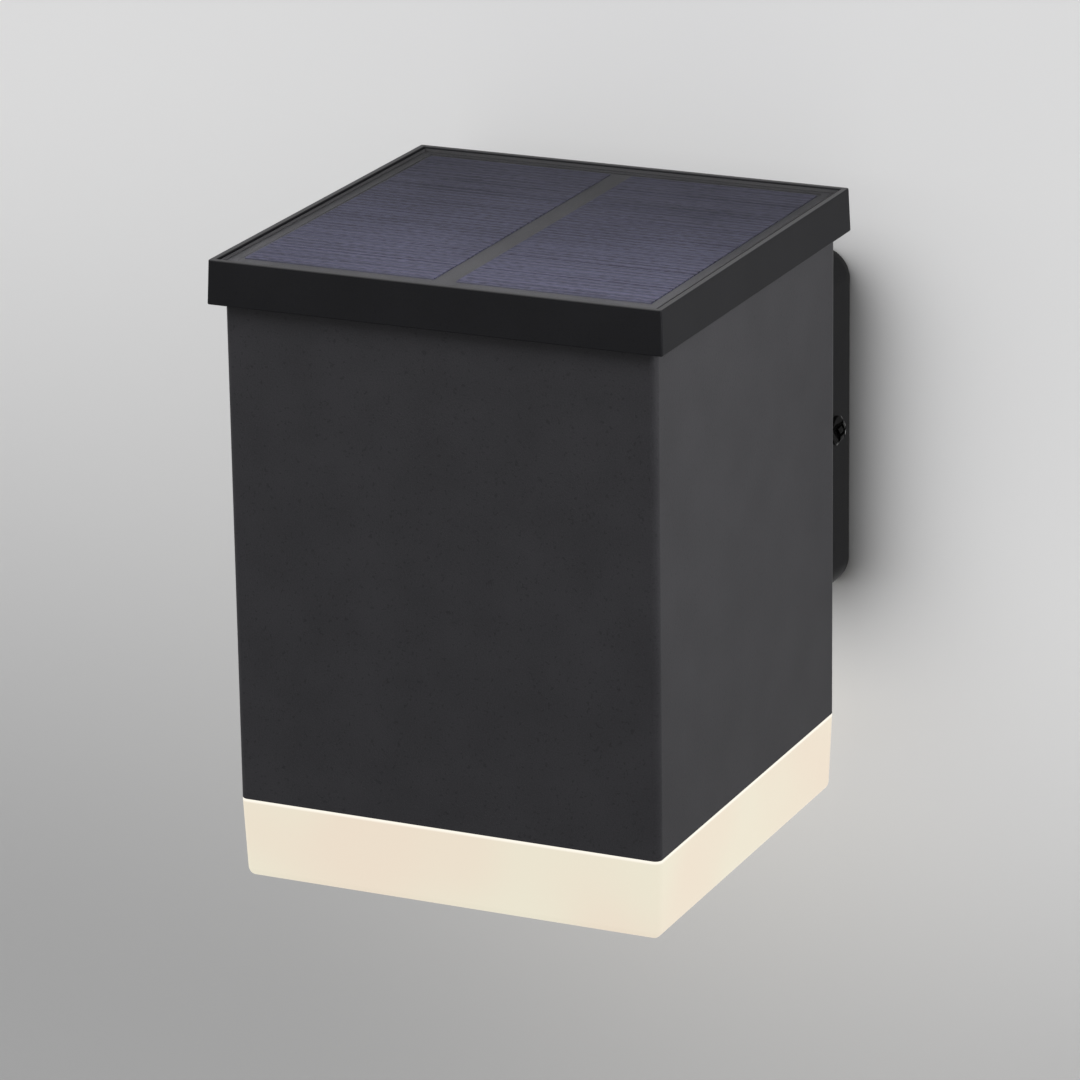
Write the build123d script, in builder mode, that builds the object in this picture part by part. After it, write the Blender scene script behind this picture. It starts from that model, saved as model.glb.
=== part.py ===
"""Solar wall light: a square lamp body under a solar lid, with a glowing diffuser below it and a
shallow canopy that holds it off the wall.

Millimetres. The wall is the plane Y = 0 and the light stands off it towards -Y, with +Z up and +X to
the right as seen from the front. The origin is the middle of the wall bracket's back face.
"""
from build123d import *
from math import cos, radians, sin, tan
import os

# Body
body_width = 104.5
body_wall = 1.8
body_corner_radius = 1.8
post_radius = 4.2           # screw posts in the body's inner corners
post_inset = 5.4            # body face to the axis of a post

# Wall canopy, and how it divides the body's back
wall_stand_off = 19.4       # wall to the body's back face
canopy_height = 83.6
canopy_side_inset = 3.9     # body side to canopy side
canopy_top_margin = 9.25    # canopy top to the lid's lower edge
switch_zone = 25.0          # canopy bottom to the body's lower edge
canopy_corner_radius = 7.4
canopy_wall = 2.2
canopy_front_wall = 2.6
canopy_boss_radius = 4.0
canopy_boss_length = 8.0
canopy_boss_inset_z = 16.0
canopy_seal_thickness = 0.8
canopy_seal_inset = 3.0
canopy_seal_width = 5.0
wall_gasket_thickness = 1.5
wall_gasket_inset = 0.2

# Wall bracket, bent from one strip
bracket_thickness = 1.5
bracket_height = 24.0
bracket_ear_length = 13.5
bracket_bend_radius = 1.0
bracket_ear_corner = 4.0
bracket_gap = 0.3           # bracket ear to the canopy's inner side
slot_spacing = 50.0
slot_length = 12.0
slot_width = 5.0
side_screw_distance = 9.7   # wall to the axis of the side screws
side_screw_grip = 4.0       # screw end past the ear

# Lid
lid_overhang = 2.4
lid_height = 10.25
lid_draft = 2.2             # degrees, wider at the lower edge
lid_rim = 1.5
lid_rim_edge = 0.3
lid_corner = 0.5            # broken upright corners
lid_floor = 2.0
lid_skirt_wall = 2.0
lid_rib_width = 2.0
lid_rib_offset = 36.0       # centring ribs, from the middle of each side
lid_rib_lead = 0.8          # lower edge of the lid to the foot of a rib
lid_rib_gap = 0.15
lid_lead_hole = 8.0
lid_boss_gap = 0.3          # boss to the body's inner face
lid_boss_length = 8.0
lid_gasket_thickness = 1.0
lid_gasket_width = 1.6
lid_gasket_inset = 0.2

# Solar panel
panel_gap = 0.5             # panel edge to the pocket's wall
panel_recess = 0.2          # cover top below the rim
tape_thickness = 0.6
tape_width = 8.0
tape_inset = 2.0
panel_board_thickness = 1.6
cover_thickness = 0.9
cover_edge = 0.15
cell_thickness = 0.3
cell_rows = 8
cell_gap = 0.22             # between neighbouring strips of one string
cell_string_gap = 5.5       # between the two strings
cell_side_border = 3.55
cell_back_border = 3.95
cell_front_border = 5.15
cell_pocket_gap = 0.1       # cover's pocket round a string

# Diffuser
diffuser_height = 19.1
diffuser_wall = 3.0
diffuser_draft = 2.0        # degrees, narrower at the bottom
diffuser_bottom_radius = 2.0
spigot_gap = 0.25           # spigot to the body's inner face
spigot_wall = 1.8
spigot_length = 60.0
spigot_height = 5.0
spigot_root = 3.0
hook_width = 16.0
hook_barb = 1.2
hook_barb_height = 1.8
hook_nose = 0.6
hook_gap = 0.2
groove_width = 1.0
groove_depth = 0.7
groove_gap = 0.05

# Reflector tray
tray_rise = 8.7             # body's lower edge to the tray's top
tray_thickness = 2.0
tray_gap = 0.4              # tray to the body's inner face
tray_corner_radius = 2.0
tray_notch_side_gap = 1.0
tray_lead_hole = 6.4
reflector_height = 5.0
reflector_flare = 30.0      # degrees
reflector_edge = 1.1

# Light source
led_board_side_gap = 12.45  # body's inner face to the board
led_board_thickness = 1.6
led_board_rim_gap = 0.6
led_pad_thickness = 0.5
led_pad_inset = 8.0
led_rows = 4
led_pitch = 16.0
led_length = 3.5
led_width = 2.8
led_height = 0.8
led_lead_edge = 3.85        # board edge to the leads

# Control board
board_side_gap = 5.45
board_back_gap = 25.8
board_front_gap = 9.1
board_thickness = 1.6
rail_length = 40.0
rail_width = 6.0
rail_height = 6.0
rail_inset = 4.0            # board's side edges to the middle of a rail
component_columns = 5       # shares of the board's width, one to a component
chip_length = 6.0
chip_width = 4.4
chip_height = 1.6
coil_width = 10.0
coil_height = 5.5
capacitor_radius = 4.0
capacitor_height = 9.0
connector_pitch = 24.0
connector_width = 7.0
connector_depth = 7.0
connector_height = 5.0
connector_lead_height = 2.5

# Battery, one 18650 cell
battery_radius = 9.25
battery_length = 65.0
battery_nub_radius = 3.0
battery_nub_height = 0.8
holder_wall = 1.5
holder_floor = 1.6
holder_gap = 0.15
holder_end_wall = 2.0
holder_end_height = 16.0
holder_front_gap = 3.0      # board's front edge to the holder
contact_thickness = 0.5
contact_width = 10.0
contact_height = 12.0
contact_reach = 2.0
contact_tongue = 5.0

# Push button switch
switch_x = 24.0
switch_thread_radius = 3.5
switch_flange_radius = 4.8
switch_flange_thickness = 1.6
switch_seal_thickness = 0.8
switch_seal_inset = 0.2
switch_depth = 11.0         # body's back face to the housing's inner end
switch_end_wall = 3.0
switch_nut_flats = 9.5
switch_nut_thickness = 2.4
switch_hole_gap = 0.15
button_stem_radius = 2.4
button_cap_radius = 3.4
button_cap_height = 3.0
button_lift = 1.8           # flange to the underside of the cap
button_travel = 1.5
button_end_gap = 0.5        # stem end to the bore's floor when pressed
running_gap = 0.05
terminal_pitch = 2.0
terminal_length = 4.0
terminal_width = 1.6
terminal_thickness = 0.5

# Inner leads, flat twin wire
lead_width = 3.2
lead_thickness = 1.6
lead_back_gap = 16.8        # body's inner back face to the panel lead's upright run
lead_bend = 32.0            # easy bends of the panel lead
lead_turn = 4.2             # tight bends
switch_lead_bend = 8.0
lead_straight = 4.0         # run out of a terminal or connector before a bend

# Screws: M4, M3.5 and M3, with hexagon heads where they are out of sight
m4_radius = 2.0
m4_head_flats = 7.0
m4_head_height = 2.4
m35_radius = 1.75
m35_head_flats = 6.0
m35_head_height = 2.2
m3_radius = 1.5
m3_head_flats = 5.5
m3_head_height = 1.8
side_head_radius = 3.5
side_head_height = 2.4
side_head_edge = 1.1
recess_length = 3.4
recess_width = 0.9
recess_depth = 1.3
thread_gap = 0.05           # screw to the wall of its thread
screw_hole_gap = 0.2        # screw to the wall of a clearance hole
blind_end = 1.0             # thread past the end of a screw

# Distances from the wall and heights
body_half = body_width / 2
body_inner = body_width - 2 * body_wall
inner_half = body_inner / 2
body_middle = wall_stand_off + body_half
canopy_bottom = -canopy_height / 2
lid_bottom = canopy_height / 2 + canopy_top_margin
lid_top = lid_bottom + lid_height
cover_top = lid_top - panel_recess
panel_board_top = cover_top - cover_thickness
panel_board_bottom = panel_board_top - panel_board_thickness
pocket_floor = panel_board_bottom - tape_thickness
lid_floor_bottom = pocket_floor - lid_floor
body_top = lid_floor_bottom - lid_gasket_thickness
post_top = lid_floor_bottom - lid_boss_length
body_bottom = canopy_bottom - switch_zone
tray_top = body_bottom + tray_rise
tray_bottom = tray_top - tray_thickness
led_board_top = tray_bottom - led_pad_thickness
led_board_bottom = led_board_top - led_board_thickness
board_bottom = tray_top + rail_height
board_top = board_bottom + board_thickness
canopy_front = wall_stand_off - canopy_seal_thickness
canopy_depth = canopy_front - wall_gasket_thickness
canopy_inner_front = canopy_front - canopy_front_wall

# Widths that follow from the above
post_pitch = body_width - 2 * post_inset
lid_width = body_width + 2 * lid_overhang
lid_base = lid_width + 2 * lid_height * tan(radians(lid_draft))
skirt_opening = lid_base - 2 * lid_skirt_wall
pocket_width = lid_width - 2 * lid_rim
panel_width = pocket_width - 2 * panel_gap
string_width = (panel_width - 2 * cell_side_border - cell_string_gap) / 2
string_length = panel_width - cell_back_border - cell_front_border
string_x = (string_width + cell_string_gap) / 2
string_y = (cell_front_border - cell_back_border) / 2
cell_pitch = string_length / cell_rows
canopy_width = body_width - 2 * canopy_side_inset
canopy_inner_width = canopy_width - 2 * canopy_wall
canopy_inner_height = canopy_height - 2 * canopy_wall
canopy_boss_z = canopy_height - 2 * canopy_boss_inset_z
bracket_width = canopy_inner_width - 2 * bracket_gap
spigot_outer = inner_half - spigot_gap
spigot_inner = spigot_outer - spigot_wall
tray_width = body_inner - 2 * tray_gap
led_board_width = body_inner - 2 * led_board_side_gap
reflector_inner = led_board_width + 2 * led_board_rim_gap
reflector_outer = reflector_inner + 2 * (reflector_height * tan(radians(reflector_flare)) + reflector_edge)
board_width = body_inner - 2 * board_side_gap
board_depth = body_inner - board_back_gap - board_front_gap
board_y = (board_front_gap - board_back_gap) / 2
rail_pitch = board_width - 2 * rail_inset
component_pitch = board_width / component_columns
holder_width = 2 * (battery_radius + holder_gap + holder_wall)
holder_inner = battery_length + 2 * contact_reach
holder_length = holder_inner + 2 * holder_end_wall
battery_distance = body_middle - board_y + board_depth / 2 - holder_front_gap - holder_width / 2
battery_z = board_top + holder_floor + holder_gap + battery_radius
connector_distance = body_middle - board_y - board_depth / 2
connector_z = board_top + connector_lead_height
component_y = (holder_front_gap + holder_width - connector_depth) / 2
switch_z = (canopy_bottom + tray_top) / 2
led_lead_y = led_board_width / 2 - led_lead_edge


def level(height):
    """The horizontal plane at a height, centred on the body's axis."""
    return Plane((0, -body_middle, height))


def side_plane(angle):
    """An upright plane through the body's axis: local X points outwards, local Y up."""
    turn = radians(angle)
    return Plane((0, -body_middle, 0), x_dir=(cos(turn), sin(turn), 0), z_dir=(sin(turn), -cos(turn), 0))


def hex_screw(radius, length, head_flats, head_height):
    """A hexagon screw: its head stands on Z = 0 and its shank, of eight flats, runs down."""
    with BuildPart() as screw:
        with BuildSketch():
            RegularPolygon(head_flats / 2, 6, major_radius=False)
        extrude(amount=head_height)
        with BuildSketch():
            RegularPolygon(radius, 8)
        extrude(amount=-length)
    return screw.part


def twin_lead(points, turns):
    """A flat twin wire along a route of (X, Y, Z) points that keeps to one X, bent at each corner."""
    with BuildPart() as lead:
        with BuildLine() as route:
            FilletPolyline(*points, radius=turns)
        with BuildSketch(Plane(origin=route.line @ 0, x_dir=(1, 0, 0), z_dir=route.line % 0)):
            Rectangle(lead_width, lead_thickness)
        sweep()
    return lead


# Lid: drafted square cap with a pocket above its floor, and a skirt and screw bosses below it
with BuildPart() as lid_frame:
    with BuildSketch(level(lid_bottom)):
        Rectangle(lid_base, lid_base)
    extrude(amount=lid_height, taper=lid_draft)
    chamfer(lid_frame.edges().filter_by(Axis.Z, tolerance=2 * lid_draft), lid_corner)
    with BuildSketch(level(lid_bottom)):
        Rectangle(skirt_opening, skirt_opening)
    extrude(amount=lid_floor_bottom - lid_bottom, mode=Mode.SUBTRACT)
    with BuildSketch(level(lid_top)):
        Rectangle(pocket_width, pocket_width)
    extrude(amount=pocket_floor - lid_top, mode=Mode.SUBTRACT)
    chamfer(lid_frame.edges().group_by(Axis.Z)[-1], lid_rim_edge)
    rib_reach = skirt_opening / 2 - body_half - lid_rib_gap
    rib_root = lid_skirt_wall / 2
    with BuildSketch(level(lid_bottom + lid_rib_lead)):
        with PolarLocations((skirt_opening + rib_root - rib_reach) / 2, 4):
            with Locations((0, -lid_rib_offset), (0, lid_rib_offset)):
                Rectangle(rib_reach + rib_root, lid_rib_width)
    extrude(amount=lid_floor_bottom - lid_bottom - lid_rib_lead)
    with BuildSketch(level(post_top)):
        with GridLocations(post_pitch, post_pitch, 2, 2):
            Circle(post_inset - body_wall - lid_boss_gap)
            Circle(m35_radius + thread_gap, mode=Mode.SUBTRACT)
    extrude(amount=lid_boss_length)
    with BuildSketch(level(pocket_floor)):
        Rectangle(lid_lead_hole, lid_lead_hole)
    extrude(amount=-lid_floor, mode=Mode.SUBTRACT)

# Solar panel: foam tape, base board, two strings of cells and the clear cover over them
with BuildPart() as panel_tape:
    tape_outer = panel_width - 2 * tape_inset
    with BuildSketch(level(pocket_floor)):
        Rectangle(tape_outer, tape_outer)
        Rectangle(tape_outer - 2 * tape_width, tape_outer - 2 * tape_width, mode=Mode.SUBTRACT)
    extrude(amount=tape_thickness)

with BuildPart() as panel_board:
    with BuildSketch(level(panel_board_bottom)):
        Rectangle(panel_width, panel_width)
    extrude(amount=panel_board_thickness)


def cell_string(side):
    """One string of cell strips, on the side -1 or +1 of the panel's middle line."""
    with BuildPart() as string:
        with BuildSketch(level(panel_board_top)):
            with Locations((side * string_x, string_y)):
                with GridLocations(string_width, cell_pitch, 1, cell_rows):
                    Rectangle(string_width, cell_pitch - cell_gap)
        extrude(amount=cell_thickness)
    return string


solar_cells_left = cell_string(-1)
solar_cells_right = cell_string(1)

with BuildPart() as panel_cover:
    with BuildSketch(level(panel_board_top)):
        Rectangle(panel_width, panel_width)
    extrude(amount=cover_thickness)
    chamfer(panel_cover.edges().group_by(Axis.Z)[-1], cover_edge)
    with BuildSketch(level(panel_board_top)):
        with Locations((-string_x, string_y), (string_x, string_y)):
            Rectangle(string_width + 2 * cell_pocket_gap, string_length + 2 * cell_pocket_gap)
    extrude(amount=cell_thickness, mode=Mode.SUBTRACT)

with BuildPart() as lid_gasket:
    gasket_outer = body_width - 2 * lid_gasket_inset
    gasket_inner = gasket_outer - 2 * lid_gasket_width
    with BuildSketch(level(body_top)):
        RectangleRounded(gasket_outer, gasket_outer, body_corner_radius)
        Rectangle(gasket_inner, gasket_inner, mode=Mode.SUBTRACT)
    extrude(amount=lid_gasket_thickness)

# Body: a square tube with a post in each corner, between the tray and the lid's boss
with BuildPart() as body_shell:
    with BuildSketch(level(body_bottom)):
        RectangleRounded(body_width, body_width, body_corner_radius)
        Rectangle(body_inner, body_inner, mode=Mode.SUBTRACT)
    extrude(amount=body_top - body_bottom)
    with BuildSketch(level(tray_top)):
        with GridLocations(post_pitch, post_pitch, 2, 2):
            Circle(post_radius)
            Circle(m35_radius + screw_hole_gap, mode=Mode.SUBTRACT)
    extrude(amount=post_top - tray_top)
    with BuildSketch(Plane.XZ.offset(wall_stand_off)):
        with GridLocations(canopy_width, canopy_boss_z, 1, 2):
            Circle(m4_radius + screw_hole_gap)
        with Locations((switch_x, switch_z)):
            Circle(switch_thread_radius + switch_hole_gap)
    extrude(amount=body_wall, mode=Mode.SUBTRACT)

# Wall canopy: a cast box, open to the wall, with a threaded boss behind each body screw
with BuildPart() as wall_canopy:
    with BuildSketch(Plane.XZ.offset(wall_gasket_thickness)):
        RectangleRounded(canopy_width, canopy_height, canopy_corner_radius)
    extrude(amount=canopy_depth)
    with BuildSketch(Plane.XZ.offset(wall_gasket_thickness)):
        RectangleRounded(canopy_inner_width, canopy_inner_height, canopy_corner_radius - canopy_wall)
    extrude(amount=canopy_depth - canopy_front_wall, mode=Mode.SUBTRACT)
    with BuildSketch(Plane.XZ.offset(canopy_inner_front - canopy_boss_length)):
        with GridLocations(canopy_width, canopy_boss_z, 1, 2):
            Circle(canopy_boss_radius)
    extrude(amount=canopy_boss_length)
    with BuildSketch(Plane.XZ.offset(canopy_front)):
        with GridLocations(canopy_width, canopy_boss_z, 1, 2):
            Circle(m4_radius + thread_gap)
    extrude(amount=blind_end - canopy_front_wall - canopy_boss_length, mode=Mode.SUBTRACT)
    with BuildSketch(Plane.YZ):
        with Locations((-side_screw_distance, 0)):
            Circle(m4_radius + screw_hole_gap)
    extrude(amount=canopy_width, both=True, mode=Mode.SUBTRACT)

with BuildPart() as canopy_seal:
    seal_width = canopy_width - 2 * canopy_seal_inset
    seal_height = canopy_height - 2 * canopy_seal_inset
    with BuildSketch(Plane.XZ.offset(canopy_front)):
        RectangleRounded(seal_width, seal_height, canopy_corner_radius - canopy_seal_inset)
        Rectangle(
            seal_width - 2 * canopy_seal_width, seal_height - 2 * canopy_seal_width, mode=Mode.SUBTRACT
        )
    extrude(amount=canopy_seal_thickness)

canopy_screw = hex_screw(
    m4_radius,
    body_wall + canopy_seal_thickness + canopy_front_wall + canopy_boss_length - 2 * blind_end,
    m4_head_flats,
    m4_head_height,
)
with BuildPart() as canopy_screws:
    with Locations(Plane.XZ.offset(wall_stand_off + body_wall)):
        with GridLocations(canopy_width, canopy_boss_z, 1, 2):
            add(canopy_screw)

with BuildPart() as wall_gasket:
    gasket_corner = canopy_corner_radius - wall_gasket_inset
    with BuildSketch(Plane.XZ):
        RectangleRounded(
            canopy_width - 2 * wall_gasket_inset, canopy_height - 2 * wall_gasket_inset, gasket_corner
        )
        RectangleRounded(
            canopy_inner_width, canopy_inner_height, canopy_corner_radius - canopy_wall, mode=Mode.SUBTRACT
        )
    extrude(amount=wall_gasket_thickness)

# Wall bracket: a strip bent at both ends, slotted for the wall and tapped for the side screws
with BuildPart() as wall_bracket:
    strip_half = (bracket_width - bracket_thickness) / 2
    strip_back = -bracket_thickness / 2
    with BuildSketch(Plane.XY.offset(-bracket_height / 2)):
        with BuildLine():
            FilletPolyline(
                (-strip_half, -bracket_ear_length),
                (-strip_half, strip_back),
                (strip_half, strip_back),
                (strip_half, -bracket_ear_length),
                radius=bracket_bend_radius + bracket_thickness / 2,
            )
        trace(line_width=bracket_thickness)
    extrude(amount=bracket_height)
    chamfer(wall_bracket.edges().filter_by(Axis.X).group_by(Axis.Y)[0], bracket_ear_corner)
    with BuildSketch(Plane.XZ):
        with GridLocations(slot_spacing, bracket_height, 2, 1):
            SlotOverall(slot_length, slot_width)
    extrude(amount=bracket_thickness, mode=Mode.SUBTRACT)
    with BuildSketch(Plane.YZ):
        with Locations((-side_screw_distance, 0)):
            Circle(m4_radius + thread_gap)
    extrude(amount=bracket_width, both=True, mode=Mode.SUBTRACT)

with BuildPart() as side_screw:
    side_screw_length = canopy_wall + bracket_gap + bracket_thickness + side_screw_grip
    with BuildSketch():
        Circle(side_head_radius)
    extrude(amount=side_head_height)
    chamfer(side_screw.edges().group_by(Axis.Z)[-1], side_head_edge)
    with BuildSketch():
        RegularPolygon(m4_radius, 8)
    extrude(amount=-side_screw_length)
    with BuildSketch(Plane.XY.offset(side_head_height)):
        Rectangle(recess_length, recess_width)
        Rectangle(recess_width, recess_length)
    extrude(amount=-recess_depth, mode=Mode.SUBTRACT)

with BuildPart() as side_screws:
    with Locations(
        Plane((-canopy_width / 2, -side_screw_distance, 0), z_dir=(-1, 0, 0)),
        Plane((canopy_width / 2, -side_screw_distance, 0), z_dir=(1, 0, 0)),
    ):
        add(side_screw.part)

# Reflector tray: plate with hook notches, flared reflector below, rails for the control board above
with BuildPart() as reflector_tray:
    notch_floor = spigot_inner - hook_gap
    notch_depth = tray_width / 2 - notch_floor + tray_gap
    with BuildSketch(level(tray_bottom)):
        RectangleRounded(tray_width, tray_width, tray_corner_radius)
        with PolarLocations(notch_floor + notch_depth / 2, 4):
            Rectangle(notch_depth, hook_width + 2 * tray_notch_side_gap, mode=Mode.SUBTRACT)
        with GridLocations(post_pitch, post_pitch, 2, 2):
            Circle(m35_radius + screw_hole_gap, mode=Mode.SUBTRACT)
        with Locations((-connector_pitch, led_lead_y)):
            Rectangle(tray_lead_hole, tray_lead_hole, mode=Mode.SUBTRACT)
    extrude(amount=tray_thickness)
    with BuildSketch(level(tray_bottom)):
        Rectangle(reflector_outer, reflector_outer)
    extrude(amount=-reflector_height)
    with BuildSketch(level(tray_bottom)):
        Rectangle(reflector_inner, reflector_inner)
    extrude(amount=-reflector_height, taper=-reflector_flare, mode=Mode.SUBTRACT)
    with BuildSketch(level(tray_top)):
        with Locations((0, board_y)):
            with GridLocations(rail_pitch, board_depth, 2, 1):
                Rectangle(rail_width, rail_length)
                Circle(m3_radius + thread_gap, mode=Mode.SUBTRACT)
    extrude(amount=rail_height)

# Tie screws: from under the tray, up through the body's posts and into the lid's bosses
tie_screw = hex_screw(
    m35_radius, post_top + lid_boss_length - blind_end - tray_bottom, m35_head_flats, m35_head_height
)
with BuildPart() as tie_screws:
    with Locations(Plane((0, -body_middle, tray_bottom), x_dir=(1, 0, 0), z_dir=(0, 0, -1))):
        with GridLocations(post_pitch, post_pitch, 2, 2):
            add(tie_screw)

# Light source: board of white chips, stuck under the tray by a heat pad
with BuildPart() as led_pad:
    with BuildSketch(level(led_board_top)):
        Rectangle(led_board_width - 2 * led_pad_inset, led_board_width - 2 * led_pad_inset)
    extrude(amount=led_pad_thickness)

with BuildPart() as led_board:
    with BuildSketch(level(led_board_bottom)):
        Rectangle(led_board_width, led_board_width)
    extrude(amount=led_board_thickness)

with BuildPart() as led_chips:
    with BuildSketch(level(led_board_bottom)):
        with GridLocations(led_pitch, led_pitch, led_rows, led_rows):
            Rectangle(led_length, led_width)
    extrude(amount=-led_height)

# Control board on the tray's rails, and what is soldered to it
with BuildPart() as control_board:
    with BuildSketch(level(board_bottom)):
        with Locations((0, board_y)):
            Rectangle(board_width, board_depth)
            with GridLocations(rail_pitch, board_depth, 2, 1):
                Circle(m3_radius + screw_hole_gap, mode=Mode.SUBTRACT)
    extrude(amount=board_thickness)

board_screw = hex_screw(
    m3_radius, board_thickness + rail_height - blind_end, m3_head_flats, m3_head_height
)
with BuildPart() as board_screws:
    with Locations(level(board_top)):
        with Locations((0, board_y)):
            with GridLocations(rail_pitch, board_depth, 2, 1):
                add(board_screw)

with BuildPart() as board_chips:
    with BuildSketch(level(board_top)):
        with Locations((0, board_y + component_y)):
            with GridLocations(component_pitch, chip_width, 2, 1):
                Rectangle(chip_length, chip_width)
    extrude(amount=chip_height)

with BuildPart() as board_coil:
    with BuildSketch(level(board_top)):
        with Locations((-1.5 * component_pitch, board_y + component_y)):
            Rectangle(coil_width, coil_width)
    extrude(amount=coil_height)

with BuildPart() as board_capacitor:
    with BuildSketch(level(board_top)):
        with Locations((1.5 * component_pitch, board_y + component_y)):
            Circle(capacitor_radius)
    extrude(amount=capacitor_height)

with BuildPart() as board_connectors:
    with BuildSketch(level(board_top)):
        with Locations((0, board_y + (board_depth - connector_depth) / 2)):
            with GridLocations(connector_pitch, connector_depth, 3, 1):
                Rectangle(connector_width, connector_depth)
    extrude(amount=connector_height)

# Battery: a round cell lying in a cradle between two sprung contacts
with BuildPart() as battery_holder:
    with BuildSketch(Plane.YZ.offset(-holder_length / 2)):
        with Locations((-battery_distance, (board_top + battery_z) / 2)):
            Rectangle(holder_width, battery_z - board_top)
        with Locations((-battery_distance, battery_z)):
            Circle(battery_radius + holder_gap, mode=Mode.SUBTRACT)
    extrude(amount=holder_length)
    for end in (-holder_length / 2, holder_inner / 2):
        with BuildSketch(Plane.YZ.offset(end)):
            with Locations((-battery_distance, board_top + holder_end_height / 2)):
                Rectangle(holder_width, holder_end_height)
        extrude(amount=holder_end_wall)

with BuildPart() as battery_cell:
    with BuildSketch(Plane.YZ.offset(-battery_length / 2)):
        with Locations((-battery_distance, battery_z)):
            Circle(battery_radius)
    extrude(amount=battery_length - battery_nub_height)
    with BuildSketch(Plane.YZ.offset(battery_length / 2)):
        with Locations((-battery_distance, battery_z)):
            Circle(battery_nub_radius)
    extrude(amount=-battery_nub_height)

with BuildPart() as battery_contacts:
    for side in (-1, 1):
        with BuildSketch(Plane.YZ.offset(side * holder_inner / 2)):
            with Locations((-battery_distance, battery_z)):
                Rectangle(contact_width, contact_height)
        extrude(amount=-side * contact_thickness)
        with BuildSketch(Plane.YZ.offset(side * holder_inner / 2)):
            with Locations((-battery_distance, battery_z)):
                Rectangle(contact_tongue, contact_tongue)
        extrude(amount=-side * contact_reach)

# Diffuser: drafted opal tray with a grooved rim, a low spigot and a hook in the middle of each side
with BuildPart() as diffuser:
    with BuildSketch(level(body_bottom)):
        RectangleRounded(body_width, body_width, body_corner_radius)
    extrude(amount=-diffuser_height, taper=diffuser_draft)
    fillet(diffuser.edges().group_by(Axis.Z)[0], diffuser_bottom_radius)
    cavity_width = body_width - 2 * diffuser_wall
    with BuildSketch(level(body_bottom)):
        Rectangle(cavity_width, cavity_width)
    extrude(amount=diffuser_wall - diffuser_height, taper=diffuser_draft, mode=Mode.SUBTRACT)
    side_planes = [side_plane(90 * turn) for turn in range(4)]
    spigot_foot = body_bottom - spigot_root
    spigot_top = body_bottom + spigot_height
    with BuildSketch(*side_planes):
        with Locations(((spigot_outer + spigot_inner) / 2, (spigot_foot + spigot_top) / 2)):
            Rectangle(spigot_wall, spigot_top - spigot_foot)
    extrude(amount=spigot_length / 2, both=True)
    hook_ledge = tray_top + hook_gap
    hook_top = hook_ledge + hook_barb_height
    with BuildSketch(*side_planes):
        with BuildLine():
            Polyline(
                (spigot_outer, body_bottom),
                (spigot_outer, hook_top),
                (spigot_inner, hook_top),
                (spigot_inner - hook_barb, hook_ledge + hook_nose),
                (spigot_inner - hook_barb, hook_ledge),
                (spigot_inner, hook_ledge),
                (spigot_inner, body_bottom),
                close=True,
            )
        make_face()
    extrude(amount=hook_width / 2, both=True)
    groove_outer = body_width - body_corner_radius
    groove_inner = groove_outer - 2 * groove_width
    with BuildSketch(level(body_bottom)):
        Rectangle(groove_outer, groove_outer)
        Rectangle(groove_inner, groove_inner, mode=Mode.SUBTRACT)
    extrude(amount=-groove_depth, mode=Mode.SUBTRACT)

with BuildPart() as diffuser_gasket:
    cord_outer = groove_outer - 2 * groove_gap
    cord_inner = groove_inner + 2 * groove_gap
    with BuildSketch(level(body_bottom)):
        Rectangle(cord_outer, cord_outer)
        Rectangle(cord_inner, cord_inner, mode=Mode.SUBTRACT)
    extrude(amount=-groove_depth)

# Push button switch: turned about its own axis, with the wall side at positive distances
switch_face = Plane((switch_x, -wall_stand_off, switch_z))
switch_axis = Axis((switch_x, -wall_stand_off, switch_z), (0, 1, 0))
flange_face = switch_seal_thickness + switch_flange_thickness
cap_foot = flange_face + button_lift
bore_floor = switch_end_wall - switch_depth
stem_end = bore_floor + button_end_gap + button_travel

with BuildPart() as switch_housing:
    with BuildSketch(switch_face):
        with BuildLine():
            Polyline(
                (0, -switch_depth),
                (switch_thread_radius, -switch_depth),
                (switch_thread_radius, switch_seal_thickness),
                (switch_flange_radius, switch_seal_thickness),
                (switch_flange_radius, flange_face),
                (button_stem_radius + running_gap, flange_face),
                (button_stem_radius + running_gap, bore_floor),
                (0, bore_floor),
                close=True,
            )
        make_face()
    revolve(axis=switch_axis)

with BuildPart() as switch_button:
    with BuildSketch(switch_face):
        with BuildLine():
            Polyline(
                (0, cap_foot + button_cap_height),
                (0, stem_end),
                (button_stem_radius, stem_end),
                (button_stem_radius, cap_foot),
                (button_cap_radius, cap_foot),
                (button_cap_radius, cap_foot + button_cap_height),
                close=True,
            )
        make_face()
    revolve(axis=switch_axis)

with BuildPart() as switch_seal:
    with BuildSketch(Plane.XZ.offset(wall_stand_off)):
        with Locations((switch_x, switch_z)):
            Circle(switch_flange_radius - switch_seal_inset)
            Circle(switch_thread_radius + thread_gap, mode=Mode.SUBTRACT)
    extrude(amount=-switch_seal_thickness)

with BuildPart() as switch_nut:
    with BuildSketch(Plane.XZ.offset(wall_stand_off + body_wall)):
        with Locations((switch_x, switch_z)):
            RegularPolygon(switch_nut_flats / 2, 6, major_radius=False)
            Circle(switch_thread_radius + thread_gap, mode=Mode.SUBTRACT)
    extrude(amount=switch_nut_thickness)

with BuildPart() as switch_terminals:
    with BuildSketch(Plane.XZ.offset(wall_stand_off + switch_depth)):
        with Locations((switch_x, switch_z)):
            with GridLocations(terminal_pitch, terminal_width, 2, 1):
                Rectangle(terminal_thickness, terminal_width)
    extrude(amount=terminal_length)

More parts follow.
